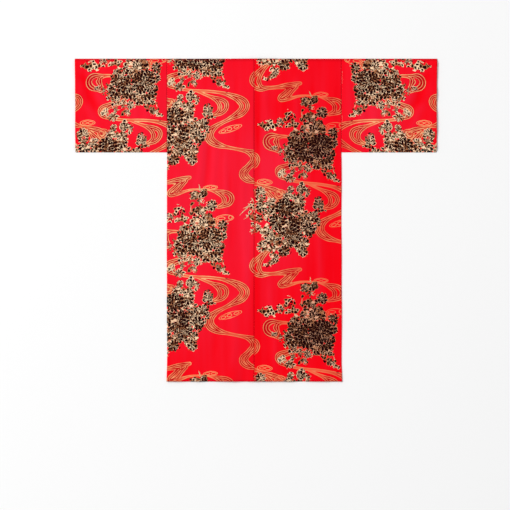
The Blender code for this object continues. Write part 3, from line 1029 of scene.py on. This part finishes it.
def stitch_rows(starts, ends):
    """Small stitches of thread, each a tube of STITCH_SIDES sides along a low arch, as one mesh's parts.

    The arch is half a sine wave from start to end, and the tube narrows to its ends, where it
    enters the cloth.
    """
    starts, ends = np.asarray(starts), np.asarray(ends)
    share = np.linspace(0.0, 1.0, STITCH_STEPS + 1)[None, :, None]
    run = (ends - starts)[:, None]
    lift = np.sin(np.pi * share) * STITCH_RISE * STITCH_RADIUS * np.array([0.0, 0.0, 1.0])
    middle = starts[:, None] + run * share + lift
    aside = np.cross(run, [0.0, 0.0, 1.0])
    aside = aside / np.linalg.norm(aside, axis=-1, keepdims=True)
    angle = np.linspace(0.0, 2 * np.pi, STITCH_SIDES, endpoint=False)
    swell = np.sin(np.pi * share) ** 0.5
    thick = STITCH_RADIUS * (STITCH_TIP + (1.0 - STITCH_TIP) * swell)[..., None]
    ring = aside[:, :, None] * np.cos(angle)[:, None] + np.array([0, 0, 1.0]) * np.sin(angle)[:, None]
    points = (middle[:, :, None] + thick * ring).reshape(-1, 3)
    step = np.arange(STITCH_STEPS)[:, None] * STITCH_SIDES
    here, after = np.arange(STITCH_SIDES)[None, :], (np.arange(STITCH_SIDES)[None, :] + 1) % STITCH_SIDES
    quads = np.stack(
        [step + here, step + after, step + STITCH_SIDES + after, step + STITCH_SIDES + here], axis=-1
    ).reshape(-1, 4)
    each = (STITCH_STEPS + 1) * STITCH_SIDES
    quads = (quads[None] + np.arange(len(starts))[:, None, None] * each).reshape(-1, 4)
    return points, quads


def stitches(name, starts, ends, material):
    """One mesh of stitches, which rides on the garment."""
    points, quads = stitch_rows(starts, ends)
    mesh = bpy.data.meshes.new(name)
    mesh.from_pydata(points.tolist(), [], quads.tolist())
    mesh.shade_smooth()
    piece = linked(name, mesh)
    piece.data.materials.append(material)
    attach(piece, "root")
    return piece


def hem_stitches(material):
    """Pick stitches that hold the turned-up hem, one row along the bottom edge of the back."""
    x = spaced(-BACK_WIDTH + STITCH_PITCH, BACK_WIDTH - STITCH_PITCH, STITCH_PITCH)
    x = x[np.abs(x) > STITCH_LENGTH]
    below = np.full_like(x, LENGTH - HEM_DEPTH + 0.5 * HEM_STEP)
    both = []
    for sign in (-0.5, 0.5):
        across = x + sign * STITCH_LENGTH
        both.append(world(across, below, back_surface(across, below)))
    return stitches("hem_stitches", *both, material)


def sleeve_stitches(name, side, out, below, length, material):
    """Stitches that run down a sleeve's upper face, at one distance out from the armhole."""
    reach_out = span(side) - SLEEVE_START
    out = np.full_like(below, out)
    both = []
    for sign in (-0.5, 0.5):
        x, down = side * (SLEEVE_START + out), below + sign * length
        down_share = (down - ROLL) / (SLEEVE_DROP - 2 * ROLL)
        both.append(world(x, down, sleeve_top(x, down, down_share, out / reach_out, reach_out)))
    return stitches(name, *both, material)


def cuff_stitches(side, word, material):
    """Pick stitches along the turned-in edge of a sleeve's opening."""
    below = spaced(2 * STITCH_PITCH, SLEEVE_DROP - 2 * STITCH_PITCH, STITCH_PITCH)
    out = span(side) - SLEEVE_START - CUFF_DEPTH + 0.5 * HEM_STEP
    return sleeve_stitches(f"cuff_stitches_{word}", side, out, below, STITCH_LENGTH, material)


def pale_stitches(material):
    """Short runs of pale thread beside the right armhole seam, on the sleeve."""
    below = np.concatenate([spaced(run.start, run.end, PALE_PITCH) for run in PALE_RUNS])
    return sleeve_stitches("armhole_stitches", 1, PALE_OFF_SEAM, below, PALE_LENGTH, material)


# Materials


class Wiring:
    """Places nodes in a tree and joins their sockets, or sets them to plain values."""

    def __init__(self, tree):
        self.tree = tree
        self.placed = 0

    def node(self, kind, values=(), **settings):
        """Places a node with its settings, and feeds its sockets in order."""
        node = self.tree.nodes.new(kind)
        node.location = (180 * (self.placed % 60), -260 * (self.placed // 60))
        self.placed += 1
        for name, value in settings.items():
            setattr(node, name, value)
        for socket, value in zip(node.inputs, values):
            self.feed(socket, value)
        return node

    def feed(self, socket, value):
        """Joins a socket to another one, or sets it to a plain value."""
        if isinstance(value, bpy.types.NodeSocket):
            self.tree.links.new(value, socket)
        elif value is not None:
            socket.default_value = value

    def math(self, operation, *values, clamp=False):
        """A number worked out from others."""
        return self.node("ShaderNodeMath", values, operation=operation, use_clamp=clamp).outputs[0]

    plus = partialmethod(math, "ADD")
    minus = partialmethod(math, "SUBTRACT")
    times = partialmethod(math, "MULTIPLY")
    times_plus = partialmethod(math, "MULTIPLY_ADD")
    divide = partialmethod(math, "DIVIDE")
    less = partialmethod(math, "LESS_THAN")
    more = partialmethod(math, "GREATER_THAN")
    least = partialmethod(math, "MINIMUM")
    most = partialmethod(math, "MAXIMUM")
    size = partialmethod(math, "ABSOLUTE")
    fract = partialmethod(math, "FRACT")

    def vector(self, operation, *values):
        """A vector worked out from others."""
        return self.node("ShaderNodeVectorMath", values, operation=operation).outputs[0]

    def measure(self, operation, *values):
        """A number worked out from vectors, such as a length."""
        return self.node("ShaderNodeVectorMath", values, operation=operation).outputs[1]

    def split(self, vector):
        """The three numbers of a vector."""
        return self.node("ShaderNodeSeparateXYZ", (vector,)).outputs

    def join(self, x=0.0, y=0.0, z=0.0):
        """The vector of three numbers."""
        return self.node("ShaderNodeCombineXYZ", (x, y, z)).outputs[0]

    def attribute(self, name, output="Fac"):
        """What the mesh holds under a name."""
        return self.node("ShaderNodeAttribute", attribute_name=name).outputs[output]

    def oval(self, place, oval):
        """A place's offset from an oval's middle, and its shares of the half length and half width."""
        turn = np.radians(oval.turn)
        along = (np.cos(turn) / oval.half_long, -np.sin(turn) / oval.half_long, 0.0)
        aside = (np.sin(turn) / oval.half_wide, np.cos(turn) / oval.half_wide, 0.0)
        off = self.vector("SUBTRACT", place, (oval.across, oval.down, 0.0))
        return off, self.measure("DOT_PRODUCT", off, along), self.measure("DOT_PRODUCT", off, aside)

    def choose(self, share, first, second, kind="RGBA"):
        """The first value where the share is 0 and the second where it is 1."""
        mix = self.node("ShaderNodeMix", data_type=kind)
        a, b, out = {"FLOAT": (2, 3, 0), "VECTOR": (4, 5, 1), "RGBA": (6, 7, 2)}[kind]
        self.feed(mix.inputs[0], share)
        self.feed(mix.inputs[a], first)
        self.feed(mix.inputs[b], second)
        return mix.outputs[out]

    def noise(self, place, scale, detail=2.0):
        """A noise texture of a scale and detail."""
        texture = self.node("ShaderNodeTexNoise")
        self.feed(texture.inputs["Vector"], place)
        texture.inputs["Scale"].default_value = scale
        texture.inputs["Detail"].default_value = detail
        return texture

    def group(self, tree, values):
        """Places a group, feeds its sockets by name and gives its outputs."""
        node = self.node("ShaderNodeGroup", node_tree=tree)
        for name, value in values.items():
            self.feed(node.inputs[name], value)
        return node.outputs


def node_group(name, inputs, outputs):
    """An empty shader group with named sockets, its wiring, its input sockets and its output node."""
    tree = bpy.data.node_groups.new(name, "ShaderNodeTree")
    for way, sockets in (("INPUT", inputs), ("OUTPUT", outputs)):
        for label, kind in sockets:
            tree.interface.new_socket(name=label, in_out=way, socket_type=f"NodeSocket{kind}")
    wiring = Wiring(tree)
    given = wiring.node("NodeGroupInput").outputs
    result = wiring.node("NodeGroupOutput").inputs
    return tree, wiring, given, result


def repeat_group():
    """Moves a place on the cloth, in metres, into the one cell of the chart that the flowers fill."""
    tree, w, given, result = node_group(
        "print_repeat", [("Cloth Place", "Vector")], [("Chart Place", "Vector")]
    )
    place = w.split(given["Cloth Place"])
    across = w.times_plus(place[0], 1 / CHART_STEP, CHART_CENTRE_SEAM)
    below = w.times_plus(place[1], -1 / CHART_STEP, CHART_SHOULDER)
    column = w.math("FLOOR", w.divide(w.minus(across, CELL_LEFT), REPEAT_ACROSS))
    across = w.times_plus(column, -REPEAT_ACROSS, across)
    below = w.times_plus(column, -REPEAT_DROP, below)
    row = w.math("FLOOR", w.divide(w.minus(below, CELL_TOP), REPEAT_DOWN))
    below = w.times_plus(row, -REPEAT_DOWN, below)
    w.feed(result["Chart Place"], w.join(across, below))
    return tree


def flower_places_group():
    """The uppermost flower head or leaf at a place of the chart.

    It puts out the place from the head's middle, with the head's radius in tenths and its share of
    dark petals in the third number. For a leaf, the first two are the shares of its half length
    and half width, and the third is negative.
    """
    tree, w, given, result = node_group(
        "flower_places", [("Chart Place", "Vector")], [("Local", "Vector")]
    )
    place = given["Chart Place"]
    found = w.join()
    for leaf in LEAVES:
        _, u, v = w.oval(place, leaf)
        bulge = w.times_plus(u, u, w.size(v))
        inside = w.less(bulge, 1.0)
        found = w.choose(inside, found, w.join(u, v, -1.0 - leaf.dark), "VECTOR")
    for head in HIGH_BUNCH + LOW_BUNCH:
        middle = (head.across, head.down, 0.0)
        inside = w.less(w.measure("DISTANCE", place, middle), head.radius)
        code = float(np.floor(10 * head.radius)) + head.dark
        local = w.vector("SUBTRACT", place, (head.across, head.down, -code))
        found = w.choose(inside, found, local, "VECTOR")
    w.feed(result["Local"], found)
    return tree


def petals_group():
    """Petals round a flower head's middle: a ring of scallops for each step outwards.

    The petals of even rings stand between those of odd rings, and an inner ring lies on the next.
    A ring's number is the smallest whose scalloped edge lies outside the place, and beyond the last
    ring's edge the ground shows. Each petal is black, cream or olive by its own random number, with
    or without a vein. Black petals have a pale outline and vein. Pale ones have a black vein, and
    an outline that is black or lets the ground show.
    A leaf has a toothed edge, a pale rib and veins that slant to its tip, with black teeth.
    """
    tree, w, given, result = node_group(
        "petals",
        [("Local", "Vector"), ("Ink", "Float")],
        [("Dark", "Float"), ("Hatch", "Float"), ("Open", "Float"), ("Shown", "Float")],
    )
    x, y, code = w.split(given["Local"])
    radius = w.times(w.math("FLOOR", code), 0.1)
    share = w.fract(code)
    count = w.most(w.math("ROUND", w.divide(radius, PETAL_LENGTH)), 1.0)
    length = w.divide(radius, count)
    out = w.measure("LENGTH", w.join(x, y))
    many = PETALS_AT_MIDDLE
    for reach in MORE_PETALS_FROM:
        many = w.times_plus(w.more(out, reach), MORE_PETALS, many)
    turn = w.divide(w.math("ARCTAN2", y, x), 2 * np.pi)
    place = w.times_plus(turn, many, w.times(radius, TURN_BY_RADIUS))
    place = w.times_plus(out, PETAL_TWIST, place)
    rings = w.divide(out, length)
    sides = []
    for shift, first in ((0.0, 0.0), (0.5, 1.0)):
        shifted = w.plus(place, shift)
        off = w.minus(w.fract(shifted), 0.5)
        rounded = w.times(w.times(off, off), 4 * PETAL_SCALLOP)
        pointed = w.times(w.size(off), 2 * LEAF_SCALLOP)
        curve = w.choose(w.less(radius, LEAFY_BELOW), rounded, pointed, "FLOAT")
        reach = w.plus(rings, curve)
        step = w.math("CEIL", w.times(w.minus(reach, 1.0 + first), 0.5))
        ring = w.times_plus(step, 2.0, first)
        sides.append((w.join(off, reach, ring), w.math("FLOOR", shifted), ring))
    odd = w.less(sides[1][2], sides[0][2])
    off, reach, ring = w.split(w.choose(odd, sides[0][0], sides[1][0], "VECTOR"))
    number = w.choose(odd, sides[0][1], sides[1][1], "FLOAT")
    edge = w.times(w.minus(w.plus(ring, 1.0), reach), length)
    arc = w.divide(w.times(out, 2 * np.pi), many)
    aside = w.times(w.minus(0.5, w.size(off)), arc)
    line = w.times_plus(share, -LINE_BY_SHARE, PETAL_LINE)
    line = w.times_plus(given["Ink"], -INK_SPREAD, line)
    side_line = w.least(line, w.times(arc, SIDE_LINE_MOST))
    beside = w.less(aside, side_line)
    outline = w.most(w.less(edge, line), beside)
    seed = w.join(number, ring, w.plus(radius, share))
    chance = w.node("ShaderNodeTexWhiteNoise", (seed,), noise_dimensions="3D").outputs[0]
    dark = w.less(chance, w.times_plus(share, DARK_BY_SHARE, DARK_LEAST))
    veined = w.less(w.fract(w.times(chance, VEIN_DRAW)), VEINED)
    vein = w.less(w.times(w.size(off), arc), VEIN_HALF_WIDTH)
    vein = w.times(w.times(vein, veined), w.more(edge, VEIN_ENDS))
    drawn = w.most(outline, vein)
    black = w.choose(drawn, dark, w.minus(1.0, dark), "FLOAT")
    draw = w.fract(w.times(chance, OLIVE_DRAW))
    hatch = w.less(draw, PETAL_OLIVE_SHARE)
    draw = w.fract(w.times(chance, OPEN_DRAW))
    opened = w.less(draw, OPEN_OUTLINES)
    opened = w.times(w.times(outline, opened), w.minus(1.0, dark))
    shown = w.less(ring, w.minus(count, 0.5))

    leaf = w.less(code, -0.5)
    off_rib = w.size(y)
    veins = w.times_plus(off_rib, -LEAF_VEIN_SLANT, w.times(x, LEAF_VEINS))
    tooth = w.fract(veins)
    bulge = w.times_plus(x, x, off_rib)
    inside = w.less(w.times_plus(tooth, LEAF_TOOTH, bulge), 1.0)
    tip = w.more(w.times_plus(tooth, TIP_TOOTH, bulge), TIP_FROM)
    leaf_dark = w.minus(-1.0, code)
    teeth = w.times(tip, w.more(leaf_dark, TEETH_FROM_DARK))
    leaf_hatch = w.less(w.fract(w.times(veins, 2.0)), 0.5)
    w.feed(result["Dark"], w.choose(leaf, black, teeth, "FLOAT"))
    w.feed(result["Hatch"], w.choose(leaf, hatch, leaf_hatch, "FLOAT"))
    w.feed(result["Open"], w.choose(leaf, opened, 0.0, "FLOAT"))
    w.feed(result["Shown"], w.choose(leaf, shown, inside, "FLOAT"))
    return tree


def small_leaves_group():
    """A mosaic of small leaves in a bunch: cells round scattered points, many halved by a pale rib.

    Each cell's rib is turned by its own random angle. Most cells are black inside a pale line, which
    is wider where the dark share is lower, and the line is cream, olive or the bare ground. Towards
    the bunch's edge fewer and fewer cells are shown.
    """
    tree, w, given, result = node_group(
        "small_leaves",
        [("Chart Place", "Vector"), ("Depth", "Float"), ("Dark Share", "Float"), ("Ink", "Float")],
        [("Dark", "Float"), ("Hatch", "Float"), ("Open", "Float"), ("Shown", "Float")],
    )
    cells = w.node("ShaderNodeTexVoronoi", voronoi_dimensions="2D", feature="F1")
    edges = w.node("ShaderNodeTexVoronoi", voronoi_dimensions="2D", feature="DISTANCE_TO_EDGE")
    for voronoi in (cells, edges):
        w.feed(voronoi.inputs["Vector"], given["Chart Place"])
        voronoi.inputs["Scale"].default_value = 1 / LEAF_CELL
    chance, kind, scatter = w.split(cells.outputs["Color"])
    line = w.times_plus(given["Dark Share"], -LEAF_LINE_BY_SHARE, LEAF_LINE)
    line = w.times_plus(given["Ink"], -INK_SPREAD, line)
    from_edge = w.times(edges.outputs["Distance"], LEAF_CELL)
    turned = w.node("ShaderNodeVectorRotate", rotation_type="Z_AXIS")
    w.feed(turned.inputs["Vector"], given["Chart Place"])
    w.feed(turned.inputs["Center"], cells.outputs["Position"])
    w.feed(turned.inputs["Angle"], w.times(chance, 2 * np.pi))
    off = w.vector("SUBTRACT", turned.outputs[0], cells.outputs["Position"])
    from_rib = w.size(w.split(off)[1])
    from_rib = w.choose(w.less(scatter, LEAF_RIBBED), FAR, from_rib, "FLOAT")
    inside = w.more(w.least(from_edge, from_rib), line)
    dark = w.times(w.less(chance, LEAF_DARK), inside)
    pale = w.minus(1.0, dark)
    w.feed(result["Dark"], dark)
    w.feed(result["Hatch"], w.times(w.less(kind, LEAF_OLIVE), pale))
    w.feed(result["Open"], w.times(w.more(kind, LEAF_OPEN), pale))
    reach = w.times_plus(w.minus(scatter, 0.5), LEAVES_SCATTER, given["Depth"])
    w.feed(result["Shown"], w.more(reach, LEAVES_EDGE))
    return tree


def water_group():
    """Lines of the flowing water, side by side from each bank, that meet in the stream's middle.

    They swell and thin along the stream. Where the stream is narrow, its gaps fill with gold, and
    where it is wide a slit of bare ground parts the lines of the two banks.
    """
    tree, w, given, result = node_group(
        "flowing_water",
        [("Offset", "Vector"), ("Share", "Float"), ("Swell", "Float")],
        [("Line", "Float"), ("Gap", "Float"), ("Filled", "Float")],
    )
    x, y, half = w.split(given["Offset"])
    middle = w.measure("LENGTH", w.join(x, y))
    inner = w.less(given["Share"], 0.5)
    share = w.choose(inner, given["Share"], middle, "FLOAT")
    from_bank = w.times(w.minus(1.0, share), half)
    spacing = w.most(w.divide(half, LINES_FROM_BANK), LINE_SPACING)
    place = w.fract(w.plus(w.divide(from_bank, spacing), LINE_SHIFT))
    from_line = w.times(w.size(w.minus(place, 0.5)), spacing)
    width = w.times_plus(w.minus(given["Swell"], 0.5), SWELL, LINE_HALF_WIDTH)
    line = w.less(from_line, width)
    band = w.less(share, 1.0)
    w.feed(result["Line"], w.times(line, band))
    lens = w.more(from_bank, w.times(spacing, LENS_FROM))
    w.feed(result["Gap"], w.times(band, w.minus(1.0, lens)))
    narrow = w.divide(w.minus(FILLED_BELOW, half), 0.5 * FILLED_BELOW, clamp=True)
    w.feed(result["Filled"], narrow)
    return tree


def rings_of_one_cell():
    """All the rings of water that reach into the chart's one cell, from every repeat."""
    rings = [
        ring._replace(
            across=ring.across + i * REPEAT_ACROSS,
            down=ring.down + i * REPEAT_DROP + j * REPEAT_DOWN,
        )
        for ring in WATER_RINGS
        for i in range(-1, 2)
        for j in range(-1, 3)
    ]
    return [
        ring
        for ring in rings
        if abs(ring.across - CELL_LEFT - REPEAT_ACROSS / 2) < REPEAT_ACROSS / 2 + ring.half_long
        and abs(ring.down - CELL_TOP - REPEAT_DOWN / 2) < REPEAT_DOWN / 2 + ring.half_long
    ]


def rings_group():
    """Outlines of the rings of water.

    A place's share is 1 on the oval. Its distance from the middle, divided by the share, is the
    oval's own reach that way, and so the rest of the share gives the distance to the line.
    """
    tree, w, given, result = node_group(
        "water_rings", [("Chart Place", "Vector")], [("Line", "Float")]
    )
    nearest = FAR
    for ring in rings_of_one_cell():
        off, u, v = w.oval(given["Chart Place"], ring)
        share = w.measure("LENGTH", w.join(u, v))
        reach = w.divide(w.measure("LENGTH", off), w.most(share, LEAST_SHARE))
        away = w.times(w.size(w.minus(share, 1.0)), reach)
        nearest = w.least(nearest, away)
    w.feed(result["Line"], w.less(nearest, RING_HALF_WIDTH))
    return tree


def print_group(repeat, flower_places, petals, small_leaves, water, rings):
    """The whole print on the dyed ground, from the place on the cloth and the water's attributes."""
    tree, w, given, result = node_group(
        "cotton_print",
        [("Cloth Place", "Vector"), *[read[:2] for read in PRINT_READS], ("Ground", "Color")],
        [("Color", "Color"), ("Printed", "Float")],
    )
    place = w.group(repeat, {"Cloth Place": given["Cloth Place"]})["Chart Place"]
    ring = w.group(rings, {"Chart Place": place})["Line"]
    waver = w.noise(given["Cloth Place"], WAVER_SCALE, detail=1.0).outputs["Color"]
    waver = w.vector("MULTIPLY", w.vector("SUBTRACT", waver, (0.5, 0.5, 0.5)), (WAVER, WAVER, 0.0))
    place = w.vector("ADD", place, waver)
    local = w.group(flower_places, {"Chart Place": place})["Local"]
    parts = w.group(petals, {"Local": local, "Ink": given["Ink"]})
    leaves = w.group(
        small_leaves,
        {
            "Chart Place": place,
            "Depth": given["Bunch Depth"],
            "Dark Share": given["Bunch Dark"],
            "Ink": given["Ink"],
        },
    )
    swell = w.noise(given["Cloth Place"], SWELL_SCALE, detail=1.0).outputs[0]
    stream = w.group(
        water, {"Offset": given["Water Offset"], "Share": given["Water Share"], "Swell": swell}
    )
    heavy = w.node("ShaderNodeClamp", (given["Ink"],)).outputs[0]
    thinner = w.minus(INK_BASE, given["Ink"])
    pale = w.times_plus(thinner, PALE_BY_INK, swell, clamp=True)
    gold = w.choose(heavy, w.choose(pale, WATER_GOLD, WATER_PALE), WATER_DEEP)
    watery = w.most(stream["Line"], ring)
    gap = w.choose(stream["Filled"], WATER_GAP, WATER_GOLD)
    gap = w.choose(w.times(stream["Gap"], GAP_SHARE), given["Ground"], gap)
    ground = w.choose(watery, gap, gold)
    code = w.split(local)[2]
    flower = w.more(w.size(code), 0.5)
    flower = w.times(flower, parts["Shown"])
    leafy = leaves["Shown"]
    colours = []
    cream = w.choose(heavy, PETAL_CREAM, PETAL_BROWN)
    for drawn in (parts, leaves):
        hatched = w.choose(drawn["Hatch"], cream, PETAL_OLIVE)
        inked = w.choose(drawn["Dark"], hatched, PETAL_BLACK)
        colours.append(w.choose(drawn["Open"], inked, given["Ground"]))
    colour = w.choose(flower, w.choose(leafy, ground, colours[1]), colours[0])
    w.feed(result["Color"], colour)
    w.feed(result["Printed"], w.most(w.most(flower, leafy), watery))
    return tree


def weave_group():
    """Height of a plain weave: warp and weft threads as sine ridges, each over and under in turn."""
    tree, w, given, result = node_group(
        "plain_weave", [("Cloth Place", "Vector"), ("Thread", "Float")], [("Height", "Float")]
    )
    x, y, _ = w.split(given["Cloth Place"])
    turns = w.divide(np.pi, given["Thread"])
    warp = w.math("SINE", w.times(x, turns))
    weft = w.math("SINE", w.times(y, turns))
    w.feed(result["Height"], w.times_plus(w.times(warp, weft), 0.5, 0.5))
    return tree


def new_material(name):
    """An empty material, its wiring and its Principled shader."""
    material = bpy.data.materials.new(name)
    material.use_nodes = True
    return material, Wiring(material.node_tree), material.node_tree.nodes["Principled BSDF"]


def raise_surface(w, shader, height, strength, distance):
    """Raises the shader's surface by a height, as a bump of its normal."""
    bump = w.node("ShaderNodeBump")
    bump.inputs["Strength"].default_value = strength
    bump.inputs["Distance"].default_value = distance
    w.feed(bump.inputs["Height"], height)
    w.feed(shader.inputs["Normal"], bump.outputs[0])


def cotton(name, groups, painted_seam_shade_at=None, painted_fold_and_hem_shade=False):
    """Matt dyed cotton with its print and weave, and painted shade along a seam, the shoulder fold and the
    hem.
    """
    material, w, shader = new_material(name)
    place = w.node("ShaderNodeUVMap", uv_map="print").outputs[0]
    across = w.split(place)[0]
    cloud = w.noise(place, CLOUD_SCALE, detail=3.0).outputs[0]
    streaks = w.noise(w.vector("MULTIPLY", place, STREAK_SCALES), 1.0).outputs[0]
    cloud = w.times_plus(streaks, 0.5, w.times_plus(cloud, 0.5, -0.5))
    # The ground is rosier by random clouds of the dye and by the painted light tint
    tint = w.times_plus(cloud, CLOUD_SHARE, w.attribute("painted_light_tint"), clamp=True)
    values = {"Cloth Place": place, "Ground": w.choose(tint, DYE_RED, ROSE_OF_DYE_AND_PAINTED_LIGHT)}
    for read in PRINT_READS:
        output = "Vector" if read.kind == "Vector" else "Fac"
        values[read.socket] = w.attribute(read.attribute, output)
    printed = w.group(groups["print"], values)
    colour = printed["Color"]
    height = w.group(groups["weave"], {"Cloth Place": place, "Thread": THREAD_PITCH})["Height"]
    # Painted shade: a dark band along the shoulder fold and a thin one just above the hem, where shade
    # falls
    if painted_fold_and_hem_shade:
        along = w.split(w.node("ShaderNodeTexCoord").outputs["Object"])[1]
        for edge, reach, darkness in (
            (SHOULDER, PAINTED_FOLD_SHADE_REACH, PAINTED_FOLD_SHADE_DARKNESS),
            (SHOULDER - LENGTH + PAINTED_HEM_SHADE_AT, PAINTED_HEM_SHADE_REACH, PAINTED_HEM_SHADE_DARKNESS),
        ):
            off = w.divide(w.size(w.minus(edge, along)), reach)
            shade = w.times(w.minus(1.0, off, clamp=True), darkness)
            colour = w.choose(shade, colour, PAINTED_FOLD_AND_HEM_SHADE_COLOUR)
    # Painted shade: a deep red band along the centre seam, where shade falls in its groove
    if painted_seam_shade_at is not None:
        groove = w.size(w.minus(across, painted_seam_shade_at))
        groove = w.minus(1.0, w.divide(groove, PAINTED_SEAM_SHADE_WIDTH), clamp=True)
        shade = w.times(groove, PAINTED_SEAM_SHADE_DARKNESS)
        colour = w.choose(shade, colour, PAINTED_SEAM_SHADE_COLOUR)
    w.feed(shader.inputs["Base Color"], colour)
    rough = w.times_plus(printed["Printed"], -PRINT_SMOOTHER, COTTON_ROUGHNESS)
    w.feed(shader.inputs["Roughness"], rough)
    raise_surface(w, shader, height, WEAVE_STRENGTH, WEAVE_HEIGHT)
    shader.inputs["Specular IOR Level"].default_value = COTTON_SPECULAR
    return material


def thread(name, colour, pale):
    """Twisted sewing thread: fine slanting stripes of two tones, raised where they are pale."""
    material, w, shader = new_material(name)
    place = w.node("ShaderNodeTexCoord").outputs["Object"]
    x, y, z = w.split(place)
    slant = w.plus(w.plus(x, y), z)
    twist = w.math("SINE", w.times(slant, 2 * np.pi / TWIST_PITCH))
    fibre = w.noise(place, FIBRE_SCALE).outputs[0]
    share = w.times_plus(twist, TWIST_SHARE, fibre, clamp=True)
    w.feed(shader.inputs["Base Color"], w.choose(share, colour, pale))
    rough = w.times_plus(fibre, FIBRE_ROUGHNESS, THREAD_ROUGHNESS)
    w.feed(shader.inputs["Roughness"], rough)
    raise_surface(w, shader, share, TWIST_STRENGTH, TWIST_HEIGHT)
    return material


# Floor, light and camera


def floor():
    """A wide pale sheet whose top is the surface that the garment lies on."""
    side = FLOOR_SIDE / 2
    mesh = bpy.data.meshes.new("floor")
    corners = [(-side, -side, 0), (side, -side, 0), (side, side, 0), (-side, side, 0)]
    mesh.from_pydata(corners, [], [(0, 1, 2, 3)])
    piece = linked("floor", mesh)
    material, _, shader = new_material("pale_floor")
    shader.inputs["Base Color"].default_value = FLOOR_WHITE
    shader.inputs["Roughness"].default_value = FLOOR_ROUGHNESS
    piece.data.materials.append(material)


def soft_light(name, place, size, power):
    """A square area light that faces the middle of the floor."""
    light = bpy.data.lights.new(name, "AREA")
    light.shape, light.size, light.energy = "SQUARE", size, power
    lamp = linked(name, light)
    lamp.location = place
    lamp.rotation_euler = Vector(place).to_track_quat("Z", "Y").to_euler()


def studio():
    """Even white surroundings, and a soft light from the upper left."""
    world = bpy.data.worlds.new("studio")
    world.use_nodes = True
    background = world.node_tree.nodes["Background"]
    background.inputs["Color"].default_value = (1.0, 1.0, 1.0, 1.0)
    background.inputs["Strength"].default_value = WORLD_LIGHT
    bpy.context.scene.world = world
    soft_light("window", WINDOW_PLACE, WINDOW_SIZE, WINDOW_POWER)
    bpy.context.scene.view_settings.view_transform = "Standard"


def camera():
    """Straight above the floor with a long lens, with the garment's top towards the frame's top."""
    data = bpy.data.cameras.new("camera")
    data.lens, data.sensor_width = LENS, SENSOR
    data.clip_end = CAMERA_REACH
    eye = linked("camera", data)
    eye.location = (VIEW_CENTRE[0], VIEW_CENTRE[1], VIEW_WIDTH * LENS / SENSOR)
    bpy.context.scene.camera = eye


def build():
    """Makes the print and the cottons, then every piece, the floor, the light and the camera."""
    flowers = flower_places_group(), petals_group(), small_leaves_group()
    cotton_print = print_group(repeat_group(), *flowers, water_group(), rings_group())
    groups = {"print": cotton_print, "weave": weave_group()}
    # The body's and the sleeves' cottons carry painted shade; the panels' cotton has none
    body_cotton = cotton("body_cotton", groups, painted_seam_shade_at=PAINTED_SEAM_SHADE_AT, painted_fold_and_hem_shade=True)
    sleeve_cotton = cotton("sleeve_cotton", groups, painted_fold_and_hem_shade=True)
    panel_cotton = cotton("panel_cotton", groups)
    for side, word in ((-1, "left"), (1, "right")):
        body_half(f"body_{word}", side, body_cotton)
        overlap_panel(f"overlap_panel_{word}", side, panel_cotton)
        sleeve(f"sleeve_{word}", side, sleeve_cotton)
    collar("collar", panel_cotton)
    red_thread = thread("red_thread", THREAD_DEEP, THREAD_RED)
    hem_stitches(red_thread)
    cuff_stitches(-1, "left", red_thread)
    cuff_stitches(1, "right", red_thread)
    pale_stitches(thread("pale_thread", THREAD_CREAM, THREAD_WHITE))
    floor()
    studio()
    camera()


build()
